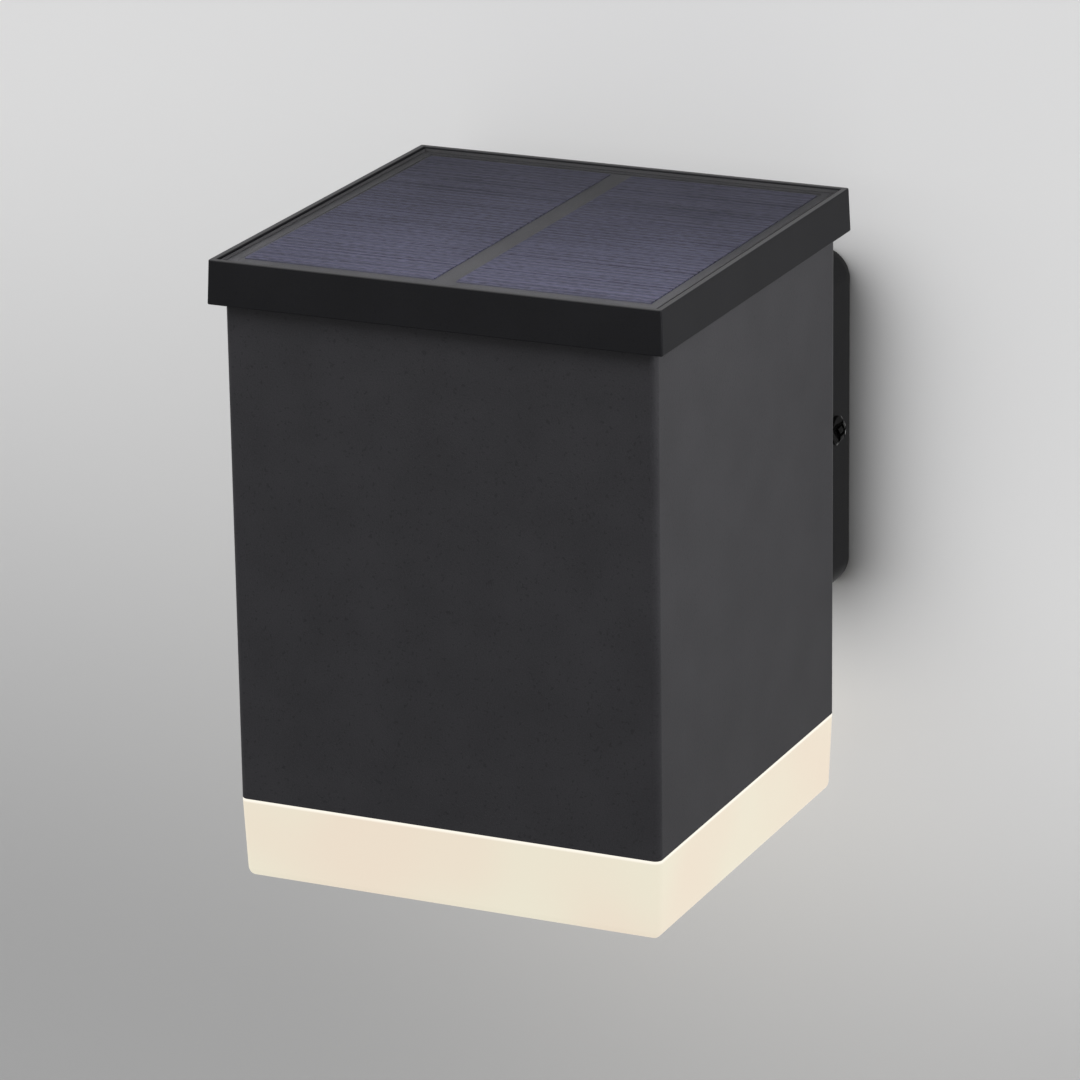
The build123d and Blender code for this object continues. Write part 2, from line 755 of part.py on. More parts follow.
# Inner leads, each pair ending square on a connector's back face
lead_distance = wall_stand_off + body_wall + lead_back_gap
lead_slope = (body_middle - lead_distance) / 2
lead_middle = (panel_board_bottom + connector_z) / 2
panel_leads = twin_lead(
    [
        (0, -body_middle, panel_board_bottom),
        (0, -body_middle, lead_middle + lead_slope),
        (0, -lead_distance, lead_middle - lead_slope),
        (0, -lead_distance, connector_z),
        (0, -connector_distance, connector_z),
    ],
    [lead_bend, lead_bend, lead_turn],
)
led_leads = twin_lead(
    [
        (-connector_pitch, led_lead_y - body_middle, led_board_top),
        (-connector_pitch, led_lead_y - body_middle, connector_z),
        (-connector_pitch, -connector_distance, connector_z),
    ],
    [lead_turn],
)
terminal_end = wall_stand_off + switch_depth + terminal_length
switch_leads = twin_lead(
    [
        (switch_x, -terminal_end, switch_z),
        (switch_x, -terminal_end - lead_straight, switch_z),
        (switch_x, lead_straight - connector_distance, connector_z),
        (switch_x, -connector_distance, connector_z),
    ],
    [switch_lead_bend, switch_lead_bend],
)

pieces = {
    "lid_frame": lid_frame,
    "panel_tape": panel_tape,
    "panel_board": panel_board,
    "solar_cells_left": solar_cells_left,
    "solar_cells_right": solar_cells_right,
    "panel_cover": panel_cover,
    "lid_gasket": lid_gasket,
    "body_shell": body_shell,
    "wall_canopy": wall_canopy,
    "canopy_seal": canopy_seal,
    "canopy_screws": canopy_screws,
    "wall_gasket": wall_gasket,
    "wall_bracket": wall_bracket,
    "side_screws": side_screws,
    "reflector_tray": reflector_tray,
    "tie_screws": tie_screws,
    "led_pad": led_pad,
    "led_board": led_board,
    "led_chips": led_chips,
    "control_board": control_board,
    "board_screws": board_screws,
    "board_chips": board_chips,
    "board_coil": board_coil,
    "board_capacitor": board_capacitor,
    "board_connectors": board_connectors,
    "battery_holder": battery_holder,
    "battery_cell": battery_cell,
    "battery_contacts": battery_contacts,
    "diffuser": diffuser,
    "diffuser_gasket": diffuser_gasket,
    "switch_housing": switch_housing,
    "switch_button": switch_button,
    "switch_seal": switch_seal,
    "switch_nut": switch_nut,
    "switch_terminals": switch_terminals,
    "panel_leads": panel_leads,
    "led_leads": led_leads,
    "switch_leads": switch_leads,
}
os.makedirs("parts", exist_ok=True)
for name, piece in pieces.items():
    piece.part.label = name
    export_step(piece.part, f"parts/{name}.step")
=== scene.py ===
"""Solar wall light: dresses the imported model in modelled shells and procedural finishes, and sets the
stage for its picture.

The file is laid out as an add-on and run as a script. Metres, in the model's own frame: the wall is
the plane Y = 0, the light stands off it towards -Y, +Z is up.
"""
from math import cos, pi, radians, sin, tan

import bmesh
import bpy
from mathutils import Matrix, Vector


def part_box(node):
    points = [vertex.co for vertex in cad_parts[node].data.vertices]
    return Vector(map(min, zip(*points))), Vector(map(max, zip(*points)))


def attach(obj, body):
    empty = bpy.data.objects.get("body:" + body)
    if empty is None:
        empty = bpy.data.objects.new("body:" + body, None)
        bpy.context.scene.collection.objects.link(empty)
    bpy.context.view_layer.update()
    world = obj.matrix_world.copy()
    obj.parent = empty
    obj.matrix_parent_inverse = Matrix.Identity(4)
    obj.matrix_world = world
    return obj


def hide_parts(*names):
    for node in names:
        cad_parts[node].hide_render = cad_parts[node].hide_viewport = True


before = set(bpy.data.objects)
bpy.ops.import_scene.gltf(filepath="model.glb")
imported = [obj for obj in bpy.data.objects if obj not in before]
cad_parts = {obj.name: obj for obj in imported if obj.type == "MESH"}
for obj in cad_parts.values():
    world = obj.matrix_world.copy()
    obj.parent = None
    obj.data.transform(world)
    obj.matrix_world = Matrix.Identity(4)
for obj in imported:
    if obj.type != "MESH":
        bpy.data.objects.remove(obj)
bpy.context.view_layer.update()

bl_info = {
    "name": "Solar wall light",
    "version": (1, 0, 0),
    "blender": (4, 5, 0),
    "location": "3D View > Sidebar > Wall Light",
    "description": "Models the shells, finishes and stage of a solar wall light",
    "category": "Object",
}

MILLIMETRE = 0.001
UP = Vector((0, 0, 1))
DOWN = Vector((0, 0, -1))
TO_WALL = Vector((0, 1, 0))
FROM_WALL = Vector((0, -1, 0))
SIDES = (-1, 1)

# Modelling: cosines that count as along and across a direction, doubles, and sharp edges
ALONG = 0.9
ACROSS = 0.3
DOUBLES = 1e-7
SHARP_ANGLE = radians(40)

# Steps round turned pieces
POST_STEPS = 32
SHANK_STEPS = 24
SWITCH_STEPS = 40

# Side screws: cells across the grid that the recess is cut from, and the power of the head's dome
RECESS_CELLS = 8
HEAD_DOME = 2.4

# Push button: share of the dish's depth that is reached halfway in
DISH_SHOULDER = 0.7

# Finishes: sizes of slow changes of tone, heights of relief, and fades
COAT_CLOUD = 14 * MILLIMETRE
COAT_RELIEF = 0.12 * MILLIMETRE
RIM_FADE = 0.05 * MILLIMETRE
MOULDED_CLOUD = 9 * MILLIMETRE
MOULDED_RELIEF = 0.08 * MILLIMETRE
COVER_SMEAR = 25 * MILLIMETRE
BLUSH_CLOUD = 45 * MILLIMETRE
GLOW_LINE_FOOT = 0.9 * MILLIMETRE
GLOW_LINE_TOP = 0.2 * MILLIMETRE

# Solar cells: printed lines as a share of their pitch, and marks with lengths in thicknesses
FINGER_SHARE = 0.2
FINGER_RELIEF = 0.02 * MILLIMETRE
STREAK = 0.6 * MILLIMETRE
STREAK_LENGTH = 100
FLECK = 0.5 * MILLIMETRE
FLECK_LENGTH = 4

# Sockets of a Mix node on colours
MIX_SHARE, MIX_FIRST, MIX_SECOND, MIX_RESULT = 0, 6, 7, 2

# Stage: each softbox with its place and its edge length, what they aim at, and where the wash is from
SOFTBOXES = (
    ("top", (-0.45, -0.75, 1.0), 0.8),
    ("front", (-0.6, -1.2, 0.3), 0.6),
    ("right", (0.26, -0.125, 0.12), 0.16),
    ("rear", (-0.3, 1.4, -0.5), 1.0),
)
SOFTBOX_AIM = Vector((0, -0.06, 0))
WASH_FROM = Vector((-0.62, -1.0, 0.3))
SENSOR_WIDTH = 36


def length(name, description, millimetres):
    """A length property, given in millimetres and kept in metres."""
    return bpy.props.FloatProperty(
        name=name,
        description=description,
        default=millimetres * MILLIMETRE,
        precision=5,
        subtype="DISTANCE",
        unit="LENGTH",
    )


def angle(name, description, degrees):
    """An angle property, given in degrees."""
    return bpy.props.FloatProperty(
        name=name, description=description, default=radians(degrees), subtype="ANGLE", unit="ROTATION"
    )


def colour(name, description, red, green, blue):
    """A colour property, in linear values."""
    return bpy.props.FloatVectorProperty(
        name=name, description=description, default=(red, green, blue), min=0, max=1, subtype="COLOR"
    )


def amount(name, description, value):
    """A plain number property."""
    return bpy.props.FloatProperty(name=name, description=description, default=value, min=0)


class LightSizes(bpy.types.PropertyGroup):
    """Sizes of the modelled shells, as in the solids."""

    lid_height: length("Lid height", "Lower edge of the lid to its rim", 10.25)
    lid_draft: angle("Lid draft", "Lean of the lid's sides", 2.2)
    lid_rim: length("Lid rim", "Width of the rim round the panel", 1.5)
    lid_pocket: length("Lid pocket", "Depth of the pocket that holds the panel", 3.3)
    lid_skirt_wall: length("Skirt wall", "Thickness of the lid's skirt", 2.0)
    lid_skirt: length("Skirt depth", "Depth of the lid's skirt", 4.95)
    lid_corner: length("Lid corner", "Radius of the lid's upright edges", 0.6)
    lid_edge: length("Lid edge", "Radius of the lid's rim and foot", 0.3)
    lid_boss_radius: length("Lid boss", "Radius of the screw bosses below the lid", 3.3)
    lid_boss_length: length("Lid boss length", "Length of the screw bosses below the lid", 8.0)
    lid_rib_width: length("Lid rib", "Width of the centring ribs in the skirt", 2.0)
    lid_rib_offset: length("Lid rib offset", "Centring ribs from the middle of each side", 36.0)
    lid_rib_gap: length("Lid rib gap", "Body to the face of a centring rib", 0.15)
    lid_rib_lead: length("Lid rib lead", "Lower edge of the lid to the foot of a centring rib", 0.8)
    cover_edge: length("Cover edge", "Broken upper edge of the panel's clear cover", 0.15)
    cover_skirt: length("Cover skirt", "Width of the cover's foot round the cells", 3.0)
    cover_gap: length("Cover gap", "Clear cover to the board and the cells below it", 0.05)
    tie_bore: length("Tie screw bore", "Radius of the bores for the tie screws", 1.9)
    body_wall: length("Body wall", "Thickness of the body's walls", 1.8)
    body_corner: length("Body corner", "Radius of the body's upright edges", 1.8)
    body_edge: length("Body edge", "Radius of the body's upper and lower edges", 0.25)
    post_radius: length("Post radius", "Radius of the posts in the body's corners", 4.2)
    post_inset: length("Post inset", "Body face to the axis of a post", 5.4)
    tray_rise: length("Tray rise", "Body's lower edge to the foot of the posts", 8.7)
    canopy_wall: length("Canopy wall", "Thickness of the canopy's sides", 2.2)
    canopy_front: length("Canopy front", "Thickness of the canopy's front", 2.6)
    canopy_corner: length("Canopy corner", "Radius of the canopy's corners", 7.4)
    canopy_edge: length("Canopy edge", "Radius of the canopy's front edge", 1.0)
    canopy_rim: length("Canopy rim", "Radius of the canopy's edge at the wall", 0.3)
    canopy_boss_radius: length("Canopy boss", "Radius of the screw bosses in the canopy", 4.0)
    canopy_boss_bore: length("Canopy bore", "Radius of the bores in the canopy's bosses", 2.05)
    canopy_boss_length: length("Canopy boss length", "Length of the canopy's bosses", 8.0)
    canopy_boss_height: length("Canopy boss height", "Middle of the canopy to a boss", 25.8)
    head_radius: length("Screw head", "Radius of the side screws' heads", 3.5)
    head_rim: length("Screw head rim", "Upright part of the side screws' heads", 0.9)
    head_height: length("Screw head height", "Height of the side screws' heads", 2.4)
    head_turn: angle("Screw head turn", "Turn of the cross recess about the screw's axis", 20)
    shank_radius: length("Screw shank", "Radius of the side screws' shanks", 2.0)
    shank_length: length("Screw shank length", "Length of the side screws' shanks", 8.0)
    recess_length: length("Recess length", "Length of the cross recess", 3.6)
    recess_width: length("Recess width", "Width of the cross recess", 0.9)
    recess_depth: length("Recess depth", "Depth of the cross recess", 1.3)
    diffuser_height: length("Diffuser height", "Shown height of the diffuser", 19.1)
    diffuser_draft: angle("Diffuser draft", "Lean of the diffuser's sides", 2.0)
    diffuser_wall: length("Diffuser wall", "Thickness of the diffuser", 3.0)
    diffuser_corner: length("Diffuser corner", "Radius of the diffuser's upright edges", 1.8)
    diffuser_edge: length("Diffuser edge", "Height of the rounding at the diffuser's lower edge", 2.2)
    diffuser_rim: length("Diffuser rim", "Broken edge where the diffuser meets the body", 0.12)
    spigot_gap: length("Spigot gap", "Body's inner face to the diffuser's spigot", 0.25)
    spigot_wall: length("Spigot wall", "Thickness of the diffuser's spigot", 1.8)
    spigot_length: length("Spigot length", "Length of the spigot on each side", 60.0)
    spigot_height: length("Spigot height", "Height of the spigot", 5.0)
    spigot_root: length("Spigot root", "Spigot's foot below the rim", 3.0)
    hook_width: length("Hook width", "Width of the hook on each side", 16.0)
    hook_barb: length("Hook barb", "Reach of a hook over the tray", 1.2)
    hook_barb_height: length("Hook barb height", "Height of a hook's barb", 1.8)
    hook_nose: length("Hook nose", "Upright part of a hook's barb", 0.6)
    flange_edge: length("Switch flange edge", "Rounding of the switch's flange", 0.4)
    seal_width: length("Switch seal width", "Width of the ring seal below the switch's flange", 1.1)
    button_bore: length("Button bore", "Radius of the bore for the button's stem", 2.45)
    button_bore_depth: length("Button bore depth", "Depth of the bore for the button's stem", 8.0)
    button_stem: length("Button stem", "Radius of the push button's stem", 2.4)
    button_cap: length("Button cap", "Height of the push button's cap", 3.0)
    button_edge: length("Button edge", "Rounding of the push button", 0.9)
    button_dish: length("Button dish", "Depth of the hollow in the push button", 0.35)


class LightFinishes(bpy.types.PropertyGroup):
    """Colours and grain of the finishes."""

    body_coat: colour("Body coat", "Powder coat of the body", 0.046, 0.0452, 0.050)
    lid_coat: colour("Lid coat", "Smooth coat of the lid", 0.016, 0.016, 0.018)
    # Painted highlight: a lighter colour on the top of the lid's rim, standing in for light caught on its
    # edges
    lid_rim: colour("Lid rim", "Rubbed coat on the lid's rim", 0.085, 0.084, 0.087)
    # The canopy's own coat, painted much darker than the body's as painted shade for the shade between the
    # body and the wall
    canopy_coat: colour("Canopy coat", "Coat of the wall canopy", 0.010, 0.010, 0.011)
    coat_grain: length("Coat grain", "Grain of the powder coat", 0.35)
    cell: colour("Solar cell", "Blue of the solar cells", 0.107, 0.106, 0.169)
    finger: colour("Cell finger", "Printed lines on the solar cells", 0.19, 0.19, 0.25)
    finger_pitch: length("Finger pitch", "Distance between the printed lines", 2.13)
    panel_base: colour("Panel base", "Border and gap between the cells", 0.129, 0.128, 0.138)
    # Colour of the faint film, which also carries the painted shade at the back of the panel
    film_and_painted_shade: colour("Film", "Faint film on the clear cover", 0.012, 0.012, 0.014)
    frost: colour("Frost", "Frosted cut edge of the clear cover", 0.13, 0.128, 0.134)
    frost_depth: length("Frost depth", "Depth of the frosted cut edge of the clear cover", 0.05)
    opal: colour("Opal", "Diffuser material", 0.12, 0.115, 0.10)
    glow: colour("Glow", "Light from the diffuser", 0.80, 0.755, 0.61)
    blush: colour("Blush", "Light from the diffuser where it is pinker", 0.81, 0.70, 0.57)
    glow_line: colour("Glow line", "Bright line where the diffuser meets the body", 1.0, 0.95, 0.84)
    glow_strength: amount("Glow strength", "Brightness of the diffuser", 0.96)
    foam: colour("Foam", "Foam tape and heat pad", 0.5, 0.5, 0.5)
    rubber: colour("Rubber", "Gaskets and seals", 0.012, 0.012, 0.012)
    zinc: colour("Zinc", "Bracket and hidden screws", 0.55, 0.56, 0.58)
    screw_black: colour("Black screw", "Side screws", 0.004, 0.004, 0.004)
    switch_plastic: colour("Switch plastic", "Switch housing and push button", 0.016, 0.016, 0.017)
    tray: colour("Tray", "White reflector tray", 0.8, 0.8, 0.78)
    light_board: colour("Light board", "Board of the light source", 0.78, 0.78, 0.77)
    circuit_board: colour("Circuit board", "Control board", 0.015, 0.11, 0.045)
    component: colour("Component", "Dark components and the battery holder", 0.018, 0.018, 0.019)
    connector: colour("Connector", "Connectors on the control board", 0.78, 0.75, 0.64)
    battery_wrap: colour("Battery wrap", "Sleeve of the battery cell", 0.02, 0.16, 0.32)
    chip: colour("Light chip", "Phosphor of the light chips", 0.8, 0.6, 0.12)
    chip_pale: colour("Light chip, pale", "Phosphor of the light chips where it is paler", 0.9, 0.8, 0.4)
    chip_glow: colour("Chip glow", "Light from the light chips", 1.0, 0.82, 0.55)
    chip_strength: amount("Chip strength", "Brightness of the light chips", 2.0)
    lead_red: colour("Red lead", "Red half of the twin leads", 0.4, 0.015, 0.015)
    lead_black: colour("Black lead", "Black half of the twin leads", 0.012, 0.012, 0.012)


class StageSettings(bpy.types.PropertyGroup):
    """Wall, lights and camera."""

    wall: colour("Wall", "Paint of the wall and floor", 0.755, 0.755, 0.757)
    # Painted shade: the wall is painted darker below the light, standing in for light that falls off
    # downwards
    wall_shaded_low_left: colour("Wall, low", "Paint of the wall below the light, on the left", 0.375, 0.375, 0.376)
    wall_shaded_low_right: colour("Wall, low right", "Paint below the light, on the right", 0.47, 0.47, 0.471)
    wall_mirror_loss: amount("Wall mirror loss", "How much reflections miss of the wall", 0.88)
    wall_gap: length("Wall gap", "Back of the light to the wall", 0.2)
    # Heights and reach of the painted shade on the wall
    fade_foot: length("Fade foot", "Height where the wall's tone starts to change", -190)
    fade_left: length("Fade end, left", "Height where the change of tone ends on the left", 90)
    fade_right: length("Fade end, right", "Height where the change of tone ends on the right", -20)
    fade_reach: length("Fade reach", "How far to each side left and right are mixed", 120)
    room_width: length("Room width", "Width of the wall and floor", 8000)
    room_depth: length("Room depth", "Depth of the floor", 4000)
    room_drop: length("Room drop", "Middle of the light to the floor", 1600)
    room_height: length("Room height", "Middle of the light to the wall's upper edge", 3000)
    room_fold: length("Room fold", "Rounding between the wall and the floor", 500)
    ambient: amount("Ambient", "Strength of the light from all round", 0.2)
    wash: amount("Wall wash", "Strength of the sunlike light that washes the wall", 2.8)
    wash_spread: angle("Wash spread", "Width of the sunlike light", 70)
    top_power: amount("Top light", "Power of the light above, in watts", 9.5)
    front_power: amount("Front light", "Power of the light in front, in watts", 1.1)
    right_power: amount("Right light", "Power of the light on the right, in watts", 0.39)
    rear_power: amount("Rear light", "Power of the light behind the wall, in watts", 1.5)
    azimuth: angle("Azimuth", "Camera to the right of the front", 24.775)
    elevation: angle("Elevation", "Camera above the horizon", 18.485)
    roll: angle("Roll", "Camera turned about its own line of sight", -0.851)
    lens: bpy.props.FloatProperty(
        name="Lens",
        description="Focal length on a 36 mm sensor",
        default=188.6,
        min=1,
        subtype="DISTANCE_CAMERA",
    )
    place: bpy.props.FloatVectorProperty(
        name="Place",
        description="Where the camera stands",
        default=(0.51724, -1.19206, 0.39838),
        subtype="TRANSLATION",
        unit="LENGTH",
    )


class Reading:
    """A number read from a node's socket: arithmetic on it adds Math nodes."""

    def __init__(self, finish, socket):
        self.finish = finish
        self.socket = socket

    def maths(self, operation, first, second):
        """A Math node on two numbers."""
        return self.finish.node("ShaderNodeMath", {"operation": operation}, {0: first, 1: second})

    def __add__(self, other):
        return self.maths("ADD", self, other)

    __radd__ = __add__

    def __mul__(self, other):
        return self.maths("MULTIPLY", self, other)

    __rmul__ = __mul__

    def __sub__(self, other):
        return self.maths("SUBTRACT", self, other)

    def __rsub__(self, other):
        return self.maths("SUBTRACT", other, self)

    def __truediv__(self, other):
        return self.maths("DIVIDE", self, other)

    def __rtruediv__(self, other):
        return self.maths("DIVIDE", other, self)

    def __lt__(self, other):
        return self.maths("LESS_THAN", self, other)

    def __gt__(self, other):
        return self.maths("GREATER_THAN", self, other)

    def larger(self, other):
        """The larger of two numbers."""
        return self.maths("MAXIMUM", self, other)

    def fraction(self):
        """The part after the whole number, never negative."""
        return self - self.maths("FLOOR", self, 0)


class Finish:
    """One procedural material on object coordinates."""

    def __init__(self, name):
        self.material = bpy.data.materials.new(name)
        self.material.use_nodes = True
        self.tree = self.material.node_tree
        self.tree.nodes.clear()

    def node(self, kind, settings=None, values=None, output=0):
        """Adds a node: its settings first, then the values or links of its sockets."""
        made = self.tree.nodes.new(kind)
        for name, value in (settings or {}).items():
            setattr(made, name, value)
        for name, value in (values or {}).items():
            if isinstance(value, Reading):
                self.tree.links.new(value.socket, made.inputs[name])
            else:
                made.inputs[name].default_value = value
        return Reading(self, made.outputs[output]) if made.outputs else None

    def place(self):
        """Object coordinates, in metres in the model's frame."""
        return self.node("ShaderNodeTexCoord", output="Object")

    def axes(self):
        """The three object coordinates as numbers."""
        split = self.node("ShaderNodeSeparateXYZ", values={"Vector": self.place()})
        return [Reading(self, socket) for socket in split.socket.node.outputs]

    def stretched(self, *factors):
        """Object coordinates scaled by a factor on each axis."""
        values = {"Vector": self.place(), "Scale": factors}
        return self.node("ShaderNodeMapping", {"vector_type": "POINT"}, values)

    def grain(self, size, detail=2.0, place=None):
        """Noise whose features are about a size across, from 0 to 1."""
        values = {"Vector": place or self.place(), "Scale": 1 / size, "Detail": detail}
        return self.node("ShaderNodeTexNoise", {"noise_dimensions": "3D"}, values)

    def levels(self, value, low, high):
        """A value stretched so that low becomes 0 and high becomes 1."""
        values = {"Value": value, "From Min": low, "From Max": high}
        return self.node("ShaderNodeMapRange", {"interpolation_type": "SMOOTHSTEP"}, values)

    def mix(self, share, first, second):
        """A colour between two colours."""
        values = {MIX_SHARE: share, MIX_FIRST: first, MIX_SECOND: second}
        return self.node("ShaderNodeMix", {"data_type": "RGBA"}, values, output=MIX_RESULT)

    def bump(self, height, strength, distance):
        """A normal from a height."""
        values = {"Height": height, "Strength": strength, "Distance": distance}
        return self.node("ShaderNodeBump", values=values, output="Normal")

    def finished(self, shader):
        """Joins the shader to the output and gives the material."""
        self.node("ShaderNodeOutputMaterial", values={"Surface": shader})
        return self.material

    def principled(self, values):
        """The usual shader, with the values or links of its sockets."""
        return self.finished(self.node("ShaderNodeBsdfPrincipled", values=values))


def shade(base, factor=1):
    """A colour made lighter or darker, with its alpha."""
    return (*(min(1, channel * factor) for channel in base), 1)


def powder_coat(name, base, grain_size, roughness, relief, gloss, rim=None):
    """Fine sandy powder coat: grain in colour, gloss and height, with sparse dark specks.

    A rim, given as a height and a colour, gets a painted highlight: it is painted lighter from that height
    up.
    """
    coat = Finish(name)
    grain = coat.grain(grain_size, 3)
    cloud = coat.grain(COAT_CLOUD, 2)
    speck = coat.levels(coat.grain(2.4 * grain_size, 1), low=0.66, high=0.72)
    tone = coat.levels(0.65 * grain + 0.35 * cloud, low=0.35, high=0.65)
    tinted = coat.mix(tone, shade(base, 0.88), shade(base, 1.12))
    tinted = coat.mix(0.45 * speck, tinted, shade(base, 0.5))
    # Painted highlight: the rim's top is painted in the lighter rim colour, standing in for light on its
    # edges
    if rim:
        height, rim_highlight_colour = rim
        painted_rim_highlight_mask = coat.levels(coat.axes()[2], low=height - RIM_FADE, high=height)
        tinted = coat.mix(painted_rim_highlight_mask, tinted, shade(rim_highlight_colour))
    return coat.principled(
        {
            "Base Color": tinted,
            "Roughness": roughness + 0.12 * (grain - 0.5),
            "Specular IOR Level": gloss,
            "Normal": coat.bump(grain, relief, COAT_RELIEF),
        }
    )


def solar_cell(name, finishes):
    """Dark blue cell with fine printed lines along X, and faint streaks and flecks between them."""
    cell = Finish(name)
    across = cell.axes()[1]
    line = (across / finishes.finger_pitch).fraction() < FINGER_SHARE
    streak = cell.grain(STREAK, 1, cell.stretched(1 / STREAK_LENGTH, 1, 1))
    fleck = cell.grain(FLECK, 1, cell.stretched(1 / FLECK_LENGTH, 1, 1))
    tone = cell.levels(0.4 * streak + 0.6 * fleck, low=0.35, high=0.65)
    tinted = cell.mix(tone, shade(finishes.cell, 0.54), shade(finishes.cell, 1.48))
    return cell.principled(
        {
            "Base Color": cell.mix((0.5 + 0.6 * streak) * line, tinted, shade(finishes.finger)),
            "Roughness": 0.34 + 0.14 * fleck,
            "Specular IOR Level": 0.08,
            "Normal": cell.bump(line, 0.1, FINGER_RELIEF),
        }
    )


def satin(name, base, roughness, grain, relief=0.1, metallic=0.0, gloss=0.5):
    """Plain moulded or plated surface, with grain in millimetres and a slow change of tone."""
    plain = Finish(name)
    fine = plain.grain(grain * MILLIMETRE, 2)
    cloud = plain.grain(MOULDED_CLOUD, 2)
    tone = plain.levels(0.5 * fine + 0.5 * cloud, low=0.3, high=0.7)
    return plain.principled(
        {
            "Base Color": plain.mix(tone, shade(base, 0.9), shade(base, 1.1)),
            "Roughness": roughness + 0.1 * (cloud - 0.5),
            "Metallic": metallic,
            "Specular IOR Level": gloss,
            "Normal": plain.bump(fine, relief, MOULDED_RELIEF),
        }
    )


def clear_sheet(name, low, high, finishes):
    """Clear cover with frosted cut edges and a faint film, which grows denser towards the wall as painted
    shade.
    """
    sheet = Finish(name)
    edge = finishes.frost_depth
    smear = sheet.levels(sheet.grain(COVER_SMEAR, 3), low=0.3, high=0.7)
    across, depth, _ = sheet.axes()
    rear = sheet.levels(depth, low.y, high.y)
    sides = (across < low.x + edge) + (across > high.x - edge)
    ends = (depth < low.y + edge) + (depth > high.y - edge)
    frosted = sides.larger(ends)
    # The rear share is painted shade: the dark film grows denser towards the wall and darkens the back of
    # the panel
    film_and_painted_shade = 0.04 + 0.03 * smear + 0.2 * rear
    return sheet.principled(
        {
            "Base Color": sheet.mix(frosted, shade(finishes.film_and_painted_shade), shade(finishes.frost)),
            "Roughness": 0.2 + 0.08 * smear + 0.2 * frosted,
            "Specular IOR Level": 0.1,
            "Alpha": film_and_painted_shade.larger(frosted),
        }
    )


def opal_glow(name, rim, finishes):
    """Opal plastic lit from inside: a bright line by the body, and a slow change of tint below it."""
    opal = Finish(name)
    line = opal.levels(opal.axes()[2], low=rim - GLOW_LINE_FOOT, high=rim - GLOW_LINE_TOP)
    cloud = opal.levels(opal.grain(BLUSH_CLOUD, 1), low=0.35, high=0.65)
    tinted = opal.mix(cloud, shade(finishes.glow), shade(finishes.blush))
    return opal.principled(
        {
            "Base Color": shade(finishes.opal),
            "Roughness": 0.4 + 0.06 * cloud,
            "Specular IOR Level": 0.2,
            "Emission Color": opal.mix(line, tinted, shade(finishes.glow_line)),
            "Emission Strength": finishes.glow_strength,
        }
    )


def light_chip(name, finishes):
    """Glowing phosphor with paler spots."""
    chip = Finish(name)
    spot = chip.grain(0.6 * MILLIMETRE, 1)
    return chip.principled(
        {
            "Base Color": chip.mix(spot, shade(finishes.chip), shade(finishes.chip_pale)),
            "Emission Color": shade(finishes.chip_glow),
            "Emission Strength": finishes.chip_strength,
        }
    )


def twin_lead(name, split, finishes):
    """Sleeve of a flat twin lead, red on one side of a split in X and black on the other."""
    lead = Finish(name)
    return lead.principled(
        {
            "Base Color": lead.mix(
                lead.axes()[0] > split, shade(finishes.lead_red), shade(finishes.lead_black)
            ),
            "Roughness": 0.4 + 0.2 * lead.grain(0.5 * MILLIMETRE),
        }
    )


def facing(direction):
    """A test for faces that point one way."""
    return lambda face: face.normal.dot(direction) > ALONG


def beside(direction):
    """A test for faces that stand along a direction, or nearly so."""
    return lambda face: abs(face.normal.dot(direction)) < ACROSS


def edges_between(mesh, first, second):
    """Edges between a face that passes the first test and one that passes the second."""
    found = []
    for edge in mesh.edges:
        if len(edge.link_faces) == 2:
            one, other = edge.link_faces
            if (first(one) and second(other)) or (first(other) and second(one)):
                found.append(edge)
    return found


def edges_along(mesh, direction, beyond=0):
    """Edges that run along a direction, farther than a distance from the plane X = 0."""
    found = []
    for edge in mesh.edges:
        start, end = (vert.co for vert in edge.verts)
        if abs((end - start).normalized().dot(direction)) > ALONG and abs(start.x) > beyond:
            found.append(edge)
    return found


def outer_edges(edges, middle, beyond):
    """Those of some edges that lie farther than a distance from an upright axis, in X or in Y."""
    return [
        edge
        for edge in edges
        if any(max(abs(vert.co.x), abs(vert.co.y - middle.y)) > beyond for vert in edge.verts)
    ]


def round_edges(mesh, edges, radius, segments):
    """Rounds edges and refreshes the normals."""
    if not edges:
        raise ValueError("No edges were found to round")
    bmesh.ops.bevel(
        mesh,
        geom=edges,
        offset=radius,
        offset_type="OFFSET",
        segments=segments,
        profile=0.5,
        affect="EDGES",
        material=-1,
        clamp_overlap=True,
    )
    mesh.normal_update()


def points_of(geometry):
    """The points among what an operator made."""
    return [item for item in geometry if isinstance(item, bmesh.types.BMVert)]


def add_block(mesh, low, high):
    """A box between two corners, added to a mesh."""
    middle = (Vector(low) + Vector(high)) / 2
    size = Vector(high) - Vector(low)
    place = Matrix.Translation(middle) @ Matrix.Diagonal((*size, 1))
    made = bmesh.ops.create_cube(mesh, size=1, matrix=place)
    mesh.normal_update()
    return made["verts"]


def one_face(mesh, direction):
    """The largest face that points one way."""
    test = facing(direction)
    return max((face for face in mesh.faces if test(face)), key=lambda face: face.calc_area())


def inset(mesh, face, thickness):
    """Narrows a face, leaving a rim round it."""
    bmesh.ops.inset_individual(mesh, faces=[face], thickness=thickness, use_even_offset=True)


def sink(mesh, face, move):
    """Pushes a face in or out, with walls behind it, and gives the moved face."""
    moved = bmesh.ops.extrude_discrete_faces(mesh, faces=[face])["faces"][0]
    bmesh.ops.translate(mesh, verts=moved.verts, vec=move)
    mesh.normal_update()
    return moved


def lean(mesh, face, middle, factor):
    """Scales a face about an upright axis, for draft, and refreshes the normals."""
    bmesh.ops.scale(mesh, vec=(factor, factor, 1), verts=face.verts, space=Matrix.Translation(-middle))
    mesh.normal_update()


